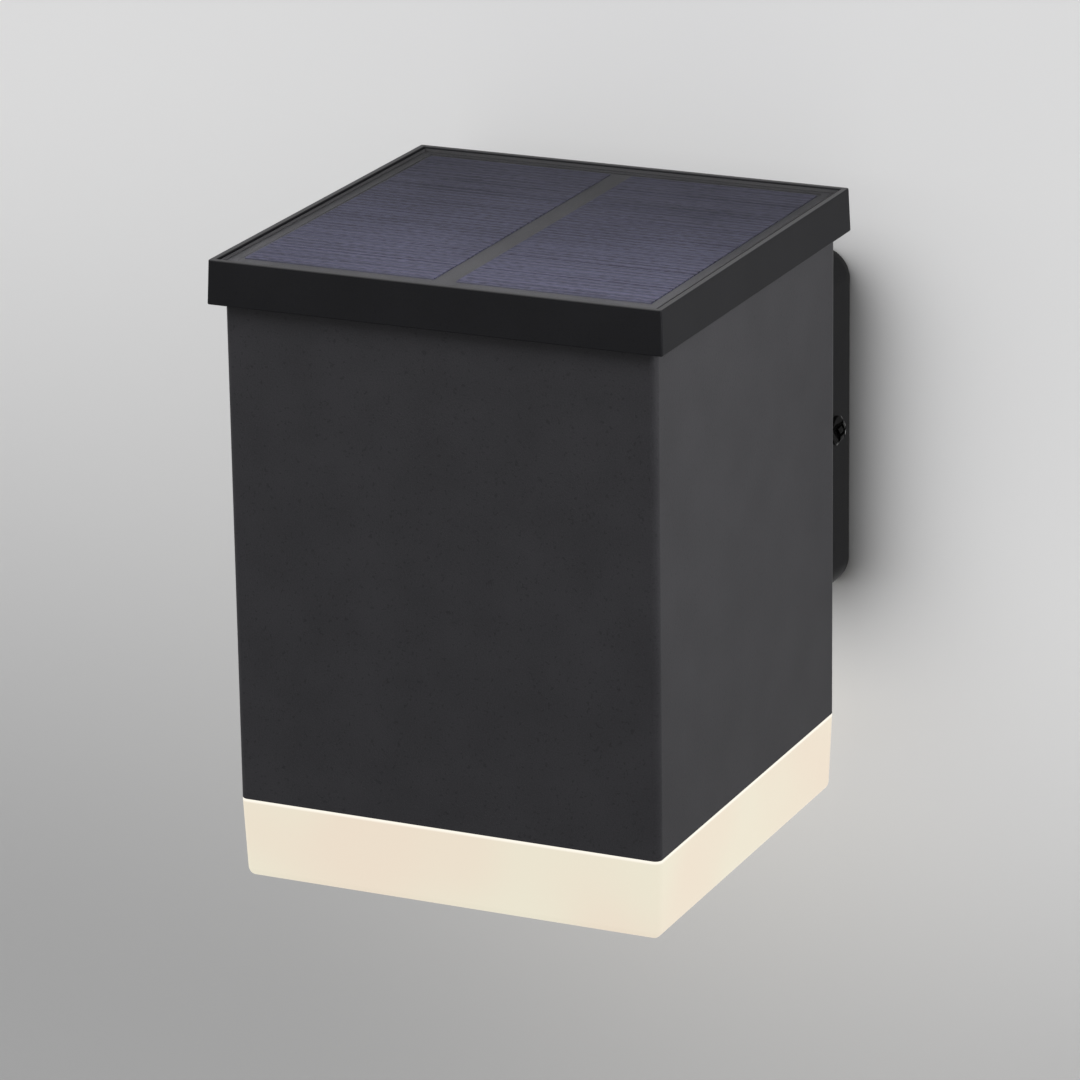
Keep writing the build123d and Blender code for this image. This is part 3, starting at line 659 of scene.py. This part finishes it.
def add_turned(mesh, outline, foot, axis, steps):
    """A turned solid: points (radius, height) spun about an axis through its foot."""
    across = axis.orthogonal().normalized()
    points = [mesh.verts.new(Vector(foot) + across * radius + axis * height) for radius, height in outline]
    lines = [mesh.edges.new(pair) for pair in zip(points, points[1:])]
    bmesh.ops.spin(
        mesh,
        geom=points + lines,
        cent=foot,
        axis=axis,
        dvec=(0, 0, 0),
        angle=2 * pi,
        steps=steps,
        use_merge=True,
    )


def ring_outline(inner, outer, height):
    """Outline of a tube, closed on itself."""
    return [(inner, 0), (outer, 0), (outer, height), (inner, height), (inner, 0)]


def rounded_rim(radius, height, edge, steps):
    """Points round the outer edge of a turned piece, from its side to its top."""
    turns = [pi / 2 * step / steps for step in range(steps + 1)]
    return [(radius - edge * (1 - cos(turn)), height - edge * (1 - sin(turn))) for turn in turns]


def add_prism(mesh, outline, depth, place):
    """A prism: an outline in its local XY plane, pushed along local Z, set by a matrix."""
    face = mesh.faces.new([mesh.verts.new((across, up, -depth / 2)) for across, up in outline])
    far = points_of(bmesh.ops.extrude_face_region(mesh, geom=[face], use_keep_orig=True)["geom"])
    bmesh.ops.translate(mesh, verts=far, vec=(0, 0, depth))
    bmesh.ops.transform(mesh, matrix=place, verts=list(face.verts) + far)


def cross_head(sizes):
    """A pan head with a cross recess, made apart, with its foot on the XY plane."""
    head = bmesh.new()
    half = sizes.recess_length / 2
    narrow = sizes.recess_width / 2
    bmesh.ops.create_grid(head, x_segments=RECESS_CELLS, y_segments=RECESS_CELLS, size=half)
    near = sizes.recess_length / RECESS_CELLS
    for vert in head.verts:
        for axis in (0, 1):
            if abs(vert.co[axis]) < 1.5 * near:
                vert.co[axis] *= narrow / near
    middles = {face: face.calc_center_median() for face in head.faces}
    cross = [face for face, middle in middles.items() if min(abs(middle.x), abs(middle.y)) < narrow]
    border = [edge for edge in head.edges if edge.is_boundary]
    around = bmesh.ops.create_circle(head, segments=len(border), radius=sizes.head_radius)["verts"]
    circle = [edge for edge in head.edges if edge.verts[0] in around and edge.verts[1] in around]
    bmesh.ops.bridge_loops(head, edges=border + circle)
    sunk = points_of(bmesh.ops.extrude_face_region(head, geom=cross)["geom"])
    bmesh.ops.delete(head, geom=cross, context="FACES_ONLY")
    rise = sizes.head_height - sizes.head_rim
    for vert in head.verts:
        share = min(1, vert.co.xy.length / sizes.head_radius)
        vert.co.z = sizes.head_rim + rise * (1 - share ** HEAD_DOME)
    bmesh.ops.translate(head, verts=sunk, vec=DOWN * sizes.recess_depth)
    outer = [edge for edge in head.edges if edge.is_boundary]
    foot = points_of(bmesh.ops.extrude_edge_only(head, edges=outer)["geom"])
    bmesh.ops.translate(head, verts=foot, vec=DOWN * sizes.head_rim)
    bmesh.ops.holes_fill(head, edges=[edge for edge in head.edges if edge.is_boundary])
    return head


def take_in(mesh, other):
    """Adds a mesh that was made apart, and frees it."""
    data = bpy.data.meshes.new("made apart")
    other.to_mesh(data)
    other.free()
    mesh.from_mesh(data)
    bpy.data.meshes.remove(data)


def settle(mesh):
    """Merges doubles and turns every shell's faces outwards."""
    bmesh.ops.remove_doubles(mesh, verts=mesh.verts, dist=DOUBLES)
    bmesh.ops.recalc_face_normals(mesh, faces=mesh.faces)


def smooth_object(name, mesh, material):
    """Turns a mesh into a smooth-shaded object in the scene."""
    data = bpy.data.meshes.new(name)
    mesh.to_mesh(data)
    mesh.free()
    data.materials.append(material)
    for polygon in data.polygons:
        polygon.use_smooth = True
    made = bpy.data.objects.new(name, data)
    bpy.context.scene.collection.objects.link(made)
    return made


def make_piece(name, mesh, material, stands_for, body="lamp"):
    """Turns a mesh into a finished piece that rides on a body and stands for a node."""
    settle(mesh)
    piece = smooth_object(name, mesh, material)
    piece.data.set_sharp_from_angle(angle=SHARP_ANGLE)
    even = piece.modifiers.new("Even shading", "WEIGHTED_NORMAL")
    even.keep_sharp = True
    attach(piece, body)
    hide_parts(stands_for)


def dress(material, *nodes):
    """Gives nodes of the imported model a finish."""
    for name in nodes:
        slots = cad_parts[name].data.materials
        slots.clear()
        slots.append(material)


def quarter_turns(middle):
    """Four turns about an upright axis, beside the plane X = 0."""
    axis = Matrix.Translation((0, middle.y, 0))
    return [axis @ Matrix.Rotation(turn * pi / 2, 4, "Z") for turn in range(4)]


def corner_places(middle, height, reach):
    """The four corners of a square about an upright axis, at a height."""
    return [Vector((x * reach, middle.y + y * reach, height)) for x in SIDES for y in SIDES]


class WALLLIGHT_OT_lid(bpy.types.Operator):
    """Models the drafted lid with its panel pocket, skirt, ribs and bosses"""

    bl_idname = "wall_light.lid"
    bl_label = "Lid"

    def execute(self, context):
        sizes = context.scene.light_sizes
        finishes = context.scene.light_finishes
        low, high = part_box("lid_frame")
        base = (high.x - low.x) / 2
        foot = high.z - sizes.lid_height
        middle = Vector((0, (low.y + high.y) / 2, foot))
        mesh = bmesh.new()
        add_block(mesh, (low.x, low.y, foot), high)
        narrower = 1 - sizes.lid_height * tan(sizes.lid_draft) / base
        lean(mesh, one_face(mesh, UP), middle, narrower)
        top = one_face(mesh, UP)
        inset(mesh, top, sizes.lid_rim)
        sink(mesh, top, DOWN * sizes.lid_pocket)
        under = one_face(mesh, DOWN)
        inset(mesh, under, sizes.lid_skirt_wall)
        sink(mesh, under, UP * sizes.lid_skirt)
        skirt_middle = base - sizes.lid_skirt_wall / 2
        round_edges(mesh, edges_along(mesh, UP, beyond=skirt_middle), sizes.lid_corner, segments=5)
        rim = edges_between(mesh, facing(UP), beside(UP))
        rim = [edge for edge in rim if edge.verts[0].co.z > high.z - sizes.lid_edge]
        round_edges(mesh, rim, sizes.lid_edge, segments=3)
        hem = edges_between(mesh, facing(DOWN), beside(UP))
        hem = [edge for edge in hem if edge.verts[0].co.z < foot + sizes.lid_edge]
        round_edges(mesh, hem, sizes.lid_edge, segments=3)
        floor = foot + sizes.lid_skirt
        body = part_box("body_shell")[1].x
        boss = ring_outline(sizes.tie_bore, sizes.lid_boss_radius, sizes.lid_boss_length)
        for place in corner_places(middle, floor - sizes.lid_boss_length, body - sizes.post_inset):
            add_turned(mesh, boss, place, UP, POST_STEPS)
        rib_low = Vector((body + sizes.lid_rib_gap, -sizes.lid_rib_width / 2, foot + sizes.lid_rib_lead))
        rib_high = Vector((skirt_middle, sizes.lid_rib_width / 2, floor))
        for turn in quarter_turns(middle):
            for side in SIDES:
                aside = Vector((0, side * sizes.lid_rib_offset, 0))
                rib = add_block(mesh, rib_low + aside, rib_high + aside)
                bmesh.ops.transform(mesh, matrix=turn, verts=rib)
        coat = powder_coat(
            "lid coat",
            finishes.lid_coat,
            finishes.coat_grain / 2,
            roughness=0.36,
            relief=0.1,
            gloss=0.15,
            # the lighter rim colour on the lid's top is a painted highlight
            rim=(high.z - sizes.lid_edge / 10, finishes.lid_rim),
        )
        make_piece("lid", mesh, coat, "lid_frame")
        return {"FINISHED"}


class WALLLIGHT_OT_solar_panel(bpy.types.Operator):
    """Models the panel's clear cover and finishes its base board and cells"""

    bl_idname = "wall_light.solar_panel"
    bl_label = "Solar panel"

    def execute(self, context):
        sizes = context.scene.light_sizes
        finishes = context.scene.light_finishes
        dress(solar_cell("solar cell", finishes), "solar_cells_left", "solar_cells_right")
        dress(satin("panel base", finishes.panel_base, roughness=0.45, grain=0.6), "panel_board")
        low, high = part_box("panel_cover")
        cell_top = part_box("solar_cells_left")[1].z
        mesh = bmesh.new()
        add_block(mesh, (low.x, low.y, low.z + sizes.cover_gap), high)
        round_edges(mesh, edges_between(mesh, facing(UP), beside(UP)), sizes.cover_edge, segments=1)
        under = one_face(mesh, DOWN)
        inset(mesh, under, sizes.cover_skirt)
        sink(mesh, under, UP * (cell_top - low.z))
        sheet = clear_sheet("clear cover", low, high, finishes)
        make_piece("cover_sheet", mesh, sheet, "panel_cover")
        return {"FINISHED"}


class WALLLIGHT_OT_body(bpy.types.Operator):
    """Models the square body tube with rounded edges and its corner posts"""

    bl_idname = "wall_light.body"
    bl_label = "Body"

    def execute(self, context):
        sizes = context.scene.light_sizes
        finishes = context.scene.light_finishes
        low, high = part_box("body_shell")
        middle = (low + high) / 2
        wall_middle = high.x - sizes.body_wall / 2
        mesh = bmesh.new()
        add_block(mesh, low, high)
        ends = [one_face(mesh, UP), one_face(mesh, DOWN)]
        for end in ends:
            inset(mesh, end, sizes.body_wall)
        loops = [edge for end in ends for edge in end.edges]
        bmesh.ops.delete(mesh, geom=ends, context="FACES_ONLY")
        bmesh.ops.bridge_loops(mesh, edges=loops)
        mesh.normal_update()
        round_edges(mesh, edges_along(mesh, UP, beyond=wall_middle), sizes.body_corner, segments=8)
        rims = edges_between(mesh, facing(UP), beside(UP)) + edges_between(mesh, facing(DOWN), beside(UP))
        round_edges(mesh, outer_edges(rims, middle, wall_middle), sizes.body_edge, segments=3)
        post_foot = low.z + sizes.tray_rise
        post_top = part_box("lid_frame")[0].z
        post = ring_outline(sizes.tie_bore, sizes.post_radius, post_top - post_foot)
        for place in corner_places(middle, post_foot, high.x - sizes.post_inset):
            add_turned(mesh, post, place, UP, POST_STEPS)
        coat = powder_coat(
            "body coat", finishes.body_coat, finishes.coat_grain, roughness=0.34, relief=0.25, gloss=0.3
        )
        make_piece("body", mesh, coat, "body_shell")
        return {"FINISHED"}


class WALLLIGHT_OT_canopy(bpy.types.Operator):
    """Models the hollow wall canopy with its rounded corners and bosses"""

    bl_idname = "wall_light.canopy"
    bl_label = "Wall canopy"

    def execute(self, context):
        sizes = context.scene.light_sizes
        finishes = context.scene.light_finishes
        low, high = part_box("wall_canopy")
        mesh = bmesh.new()
        add_block(mesh, low, high)
        round_edges(mesh, edges_along(mesh, TO_WALL), sizes.canopy_corner, segments=10)
        back = one_face(mesh, TO_WALL)
        inset(mesh, back, sizes.canopy_wall)
        sink(mesh, back, FROM_WALL * (high.y - low.y - sizes.canopy_front))
        front = edges_between(mesh, facing(FROM_WALL), beside(TO_WALL))
        round_edges(mesh, front, sizes.canopy_edge, segments=4)
        rim = edges_between(mesh, facing(TO_WALL), beside(TO_WALL))
        rim = [edge for edge in rim if edge.verts[0].co.y > high.y - sizes.canopy_rim]
        round_edges(mesh, rim, sizes.canopy_rim, segments=2)
        boss = ring_outline(sizes.canopy_boss_bore, sizes.canopy_boss_radius, sizes.canopy_boss_length)
        for side in SIDES:
            foot = (0, low.y + sizes.canopy_front, side * sizes.canopy_boss_height)
            add_turned(mesh, boss, foot, TO_WALL, POST_STEPS)
        # The canopy's coat carries painted shade: it is much darker than the body's coat
        coat = powder_coat(
            "canopy coat", finishes.canopy_coat, finishes.coat_grain, roughness=0.5, relief=0.25, gloss=0.2
        )
        make_piece("canopy", mesh, coat, "wall_canopy")
        return {"FINISHED"}


class WALLLIGHT_OT_side_screws(bpy.types.Operator):
    """Models the pan head screws with cross recess in the canopy's sides"""

    bl_idname = "wall_light.side_screws"
    bl_label = "Side screws"

    def execute(self, context):
        sizes = context.scene.light_sizes
        finishes = context.scene.light_finishes
        low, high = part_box("side_screws")
        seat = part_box("wall_canopy")[1].x
        shank = [
            (0, -sizes.shank_length),
            (sizes.shank_radius, -sizes.shank_length),
            (sizes.shank_radius, 0),
            (0, 0),
        ]
        mesh = bmesh.new()
        for side in SIDES:
            foot = Vector((side * seat, (low.y + high.y) / 2, 0))
            outwards = Matrix.Rotation(side * pi / 2, 4, "Y")
            place = Matrix.Translation(foot) @ outwards @ Matrix.Rotation(sizes.head_turn, 4, "Z")
            head = cross_head(sizes)
            bmesh.ops.transform(head, matrix=place, verts=head.verts)
            take_in(mesh, head)
            add_turned(mesh, shank, foot, Vector((side, 0, 0)), SHANK_STEPS)
        black = satin(
            "black screw", finishes.screw_black, roughness=0.12, grain=0.4, relief=0.02, gloss=0.3
        )
        make_piece("side_screw_pair", mesh, black, "side_screws")
        return {"FINISHED"}


class WALLLIGHT_OT_diffuser(bpy.types.Operator):
    """Models the glowing opal diffuser with its spigots and hooks"""

    bl_idname = "wall_light.diffuser"
    bl_label = "Diffuser"

    def execute(self, context):
        sizes = context.scene.light_sizes
        finishes = context.scene.light_finishes
        low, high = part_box("diffuser")
        rim = low.z + sizes.diffuser_height
        half = (high.x - low.x) / 2
        middle = Vector((0, (low.y + high.y) / 2, rim))
        narrower = 1 - sizes.diffuser_height * tan(sizes.diffuser_draft) / half
        mesh = bmesh.new()
        add_block(mesh, low, (high.x, high.y, rim))
        lean(mesh, one_face(mesh, DOWN), middle, narrower)
        top = one_face(mesh, UP)
        inset(mesh, top, sizes.diffuser_wall)
        floor = sink(mesh, top, DOWN * (sizes.diffuser_height - sizes.diffuser_wall))
        lean(mesh, floor, middle, narrower)
        wall_middle = half * narrower - sizes.diffuser_wall / 2
        rounded = edges_along(mesh, UP, beyond=wall_middle)
        rounded += edges_between(mesh, facing(DOWN), beside(UP))
        round_edges(mesh, rounded, sizes.diffuser_corner, segments=8)
        rounding = [vert for vert in mesh.verts if vert.co.z < low.z + 1.01 * sizes.diffuser_corner]
        taller = (1, 1, sizes.diffuser_edge / sizes.diffuser_corner)
        bmesh.ops.scale(mesh, vec=taller, verts=rounding, space=Matrix.Translation((0, 0, -low.z)))
        lip = edges_between(mesh, facing(UP), beside(UP))
        lip = [edge for edge in lip if edge.verts[0].co.z > rim - sizes.diffuser_rim]
        lip = outer_edges(lip, middle, half - sizes.diffuser_corner)
        round_edges(mesh, lip, sizes.diffuser_rim, segments=2)
        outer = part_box("body_shell")[1].x - sizes.body_wall - sizes.spigot_gap
        inner = outer - sizes.spigot_wall
        ledge = high.z - sizes.hook_barb_height
        hook = [
            (outer, rim),
            (outer, high.z),
            (inner, high.z),
            (inner - sizes.hook_barb, ledge + sizes.hook_nose),
            (inner - sizes.hook_barb, ledge),
            (inner, ledge),
            (inner, rim),
        ]
        spigot = [
            (outer, rim - sizes.spigot_root),
            (outer, rim + sizes.spigot_height),
            (inner, rim + sizes.spigot_height),
            (inner, rim - sizes.spigot_root),
        ]
        upright_plane = Matrix.Rotation(pi / 2, 4, "X")
        for turn in quarter_turns(middle):
            add_prism(mesh, hook, sizes.hook_width, turn @ upright_plane)
            add_prism(mesh, spigot, sizes.spigot_length, turn @ upright_plane)
        make_piece("diffuser_shell", mesh, opal_glow("opal", rim, finishes), "diffuser")
        return {"FINISHED"}


class WALLLIGHT_OT_switch(bpy.types.Operator):
    """Models the switch housing and its push button on the body's back"""

    bl_idname = "wall_light.switch"
    bl_label = "Switch"

    def execute(self, context):
        sizes = context.scene.light_sizes
        finishes = context.scene.light_finishes
        plastic = satin("switch plastic", finishes.switch_plastic, roughness=0.42, grain=0.4, relief=0.12)
        low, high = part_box("switch_housing")
        centre = (low + high) / 2
        flange = (high.x - low.x) / 2
        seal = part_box("switch_seal")[1]
        barrel = seal.x - centre.x - sizes.seal_width
        inner_end = low.y - seal.y
        face = high.y - seal.y
        bore_floor = face - sizes.button_bore_depth
        housing = [(0, inner_end), (barrel, inner_end), (barrel, 0), (flange, 0)]
        housing += rounded_rim(flange, face, sizes.flange_edge, steps=2)
        housing += [(sizes.button_bore, face), (sizes.button_bore, bore_floor), (0, bore_floor)]
        mesh = bmesh.new()
        add_turned(mesh, housing, (centre.x, seal.y, centre.z), TO_WALL, SWITCH_STEPS)
        make_piece("switch_body", mesh, plastic, "switch_housing")
        low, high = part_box("switch_button")
        cap = (high.x - low.x) / 2
        top = high.y - low.y
        cap_foot = top - sizes.button_cap
        button = [(0, 0), (sizes.button_stem, 0), (sizes.button_stem, cap_foot), (cap, cap_foot)]
        button += rounded_rim(cap, top, sizes.button_edge, steps=4)
        button += [(cap / 2, top - DISH_SHOULDER * sizes.button_dish), (0, top - sizes.button_dish)]
        mesh = bmesh.new()
        add_turned(mesh, button, (centre.x, low.y, centre.z), TO_WALL, SWITCH_STEPS)
        make_piece("push_button", mesh, plastic, "switch_button", body="button")
        return {"FINISHED"}


class WALLLIGHT_OT_fittings(bpy.types.Operator):
    """Finishes the tapes, seals, bracket, hidden screws and contacts"""

    bl_idname = "wall_light.fittings"
    bl_label = "Fittings"

    def execute(self, context):
        finishes = context.scene.light_finishes
        foam = satin("foam tape", finishes.foam, roughness=0.9, grain=0.4, relief=0.5)
        dress(foam, "panel_tape", "led_pad")
        rubber = satin("rubber", finishes.rubber, roughness=0.75, grain=0.3, relief=0.3)
        dress(rubber, "wall_gasket", "canopy_seal", "lid_gasket", "diffuser_gasket", "switch_seal")
        zinc = satin("zinc plate", finishes.zinc, roughness=0.36, grain=0.8, relief=0.08, metallic=1.0)
        dress(zinc, "wall_bracket", "canopy_screws", "tie_screws", "board_screws")
        dress(zinc, "switch_nut", "switch_terminals", "battery_contacts")
        return {"FINISHED"}


class WALLLIGHT_OT_inside(bpy.types.Operator):
    """Finishes what the body hides: tray, boards, light source, battery and leads"""

    bl_idname = "wall_light.inside"
    bl_label = "Inner pieces"

    def execute(self, context):
        finishes = context.scene.light_finishes
        dress(satin("white tray", finishes.tray, roughness=0.4, grain=0.5), "reflector_tray")
        dress(satin("light board", finishes.light_board, roughness=0.35, grain=0.4), "led_board")
        board = satin("circuit board", finishes.circuit_board, roughness=0.35, grain=0.7, relief=0.2)
        dress(board, "control_board")
        dark = satin("dark component", finishes.component, roughness=0.5, grain=0.3)
        dress(dark, "board_chips", "board_coil", "board_capacitor", "battery_holder")
        dress(satin("connector", finishes.connector, roughness=0.4, grain=0.4), "board_connectors")
        dress(satin("battery wrap", finishes.battery_wrap, roughness=0.25, grain=0.8), "battery_cell")
        dress(light_chip("light chip", finishes), "led_chips")
        for name in ("panel_leads", "led_leads", "switch_leads"):
            low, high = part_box(name)
            dress(twin_lead(name.replace("_", " "), (low.x + high.x) / 2, finishes), name)
        return {"FINISHED"}


class WALLLIGHT_OT_stage(bpy.types.Operator):
    """Sets the wall, floor, lights and camera"""

    bl_idname = "wall_light.stage"
    bl_label = "Stage"

    def execute(self, context):
        scene = context.scene
        stage = scene.light_stage
        scene.view_settings.view_transform = "Standard"
        room = self.add_room(stage)
        self.add_softboxes(scene, stage, room)
        self.add_wash(scene, stage, room)
        self.add_camera(scene, stage)
        return {"FINISHED"}

    def add_room(self, stage):
        """The wall and the floor, joined by a soft fold."""
        mesh = bmesh.new()
        left = -stage.room_width / 2
        profile = (
            (left, -stage.room_depth, -stage.room_drop),
            (left, stage.wall_gap, -stage.room_drop),
            (left, stage.wall_gap, stage.room_height),
        )
        points = [mesh.verts.new(place) for place in profile]
        edges = [mesh.edges.new(pair) for pair in zip(points, points[1:])]
        far = points_of(bmesh.ops.extrude_edge_only(mesh, edges=edges)["geom"])
        bmesh.ops.translate(mesh, verts=far, vec=(stage.room_width, 0, 0))
        mesh.normal_update()
        fold = [edge for edge in mesh.edges if len(edge.link_faces) == 2]
        round_edges(mesh, fold, stage.room_fold, segments=16)
        if sum(face.normal.z for face in mesh.faces) < 0:
            bmesh.ops.reverse_faces(mesh, faces=mesh.faces)
        room = smooth_object("room", mesh, self.wall_paint(stage))
        return room

    def wall_paint(self, stage):
        """Matt paint, darker below as painted shade, clear from behind and to shadows, and faint in
        reflections.
        """
        paint = Finish("wall paint")
        across, _, height = paint.axes()
        # Painted shade: darker low on the wall, more so on the left
        left = paint.levels(height, stage.fade_foot, stage.fade_left)
        left = paint.mix(left, shade(stage.wall_shaded_low_left), shade(stage.wall))
        right = paint.levels(height, stage.fade_foot, stage.fade_right)
        right = paint.mix(right, shade(stage.wall_shaded_low_right), shade(stage.wall))
        tone = paint.mix(paint.levels(across, -stage.fade_reach, stage.fade_reach), left, right)
        matt = paint.node("ShaderNodeBsdfDiffuse", values={"Color": tone})
        clear = paint.node("ShaderNodeBsdfTransparent")
        behind = paint.node("ShaderNodeNewGeometry", output="Backfacing")
        shadow = paint.node("ShaderNodeLightPath", output="Is Shadow Ray")
        mirrored = paint.node("ShaderNodeLightPath", output="Is Glossy Ray")
        through = behind.larger(shadow).larger(stage.wall_mirror_loss * mirrored)
        return paint.finished(paint.node("ShaderNodeMixShader", values={0: through, 1: matt, 2: clear}))

    def add_softboxes(self, scene, stage, room):
        """Even light from all round, and square lights that leave the room out."""
        world = bpy.data.worlds.new("Studio")
        scene.world = world
        world.use_nodes = True
        sky = world.node_tree.nodes["Background"]
        sky.inputs["Color"].default_value = (1, 1, 1, 1)
        sky.inputs["Strength"].default_value = stage.ambient
        not_room = bpy.data.collections.new("all but the room")
        not_room.objects.link(room)
        not_room.collection_objects[0].light_linking.link_state = "EXCLUDE"
        for name, place, size in SOFTBOXES:
            light = bpy.data.lights.new(name, "AREA")
            light.shape = "SQUARE"
            light.size = size
            light.energy = getattr(stage, name + "_power")
            lamp = self.add_lamp(scene, light, Vector(place), SOFTBOX_AIM)
            lamp.light_linking.receiver_collection = not_room

    def add_wash(self, scene, stage, room):
        """Broad sunlike light on the room alone, with the canopy's shadow."""
        sun = bpy.data.lights.new("wash", "SUN")
        sun.energy = stage.wash
        sun.angle = stage.wash_spread
        lamp = self.add_lamp(scene, sun, WASH_FROM, Vector())
        only_room = bpy.data.collections.new("room only")
        only_room.objects.link(room)
        lamp.light_linking.receiver_collection = only_room
        canopy = bpy.data.collections.new("canopy only")
        canopy.objects.link(scene.objects["canopy"])
        lamp.light_linking.blocker_collection = canopy

    def add_lamp(self, scene, light, place, aim):
        """A light at a place, turned to what it aims at, and out of the picture."""
        lamp = bpy.data.objects.new(light.name, light)
        lamp.location = place
        lamp.visible_camera = False
        lamp.rotation_euler = (aim - place).to_track_quat("-Z", "Y").to_euler()
        scene.collection.objects.link(lamp)
        return lamp

    def add_camera(self, scene, stage):
        """The camera, at the stage's place and angles."""
        data = bpy.data.cameras.new("camera")
        data.lens = stage.lens
        data.sensor_width = SENSOR_WIDTH
        camera = bpy.data.objects.new("camera", data)
        turn = Matrix.Rotation(stage.azimuth, 3, "Z")
        tilt = Matrix.Rotation(pi / 2 - stage.elevation, 3, "X")
        roll = Matrix.Rotation(stage.roll, 3, "Z")
        camera.matrix_world = Matrix.Translation(stage.place) @ (turn @ tilt @ roll).to_4x4()
        scene.collection.objects.link(camera)
        scene.camera = camera


class WALLLIGHT_PT_sidebar(bpy.types.Panel):
    """Lists the steps that make the light and its stage, and their settings"""

    bl_idname = "WALLLIGHT_PT_sidebar"
    bl_label = "Solar wall light"
    bl_space_type = "VIEW_3D"
    bl_region_type = "UI"
    bl_category = "Wall Light"

    def draw(self, context):
        for step in STEPS:
            self.layout.operator(step.bl_idname)
        for name, group in SETTINGS.items():
            box = self.layout.box()
            box.label(text=name.replace("_", " ").capitalize())
            for setting in group.__annotations__:
                box.prop(getattr(context.scene, name), setting)


STEPS = (
    WALLLIGHT_OT_lid,
    WALLLIGHT_OT_solar_panel,
    WALLLIGHT_OT_body,
    WALLLIGHT_OT_canopy,
    WALLLIGHT_OT_side_screws,
    WALLLIGHT_OT_diffuser,
    WALLLIGHT_OT_switch,
    WALLLIGHT_OT_fittings,
    WALLLIGHT_OT_inside,
    WALLLIGHT_OT_stage,
)
SETTINGS = {"light_sizes": LightSizes, "light_finishes": LightFinishes, "light_stage": StageSettings}


def register():
    """Registers the settings, the steps and the sidebar."""
    for name, group in SETTINGS.items():
        bpy.utils.register_class(group)
        setattr(bpy.types.Scene, name, bpy.props.PointerProperty(type=group))
    for step in STEPS:
        bpy.utils.register_class(step)
    bpy.utils.register_class(WALLLIGHT_PT_sidebar)


def unregister():
    """Takes away what register adds."""
    bpy.utils.unregister_class(WALLLIGHT_PT_sidebar)
    for step in reversed(STEPS):
        bpy.utils.unregister_class(step)
    for name, group in SETTINGS.items():
        delattr(bpy.types.Scene, name)
        bpy.utils.unregister_class(group)


def main():
    """Makes the light and its stage step by step."""
    register()
    for step in STEPS:
        group, name = step.bl_idname.split(".")
        getattr(getattr(bpy.ops, group), name)()


if __name__ == "__main__":
    main()
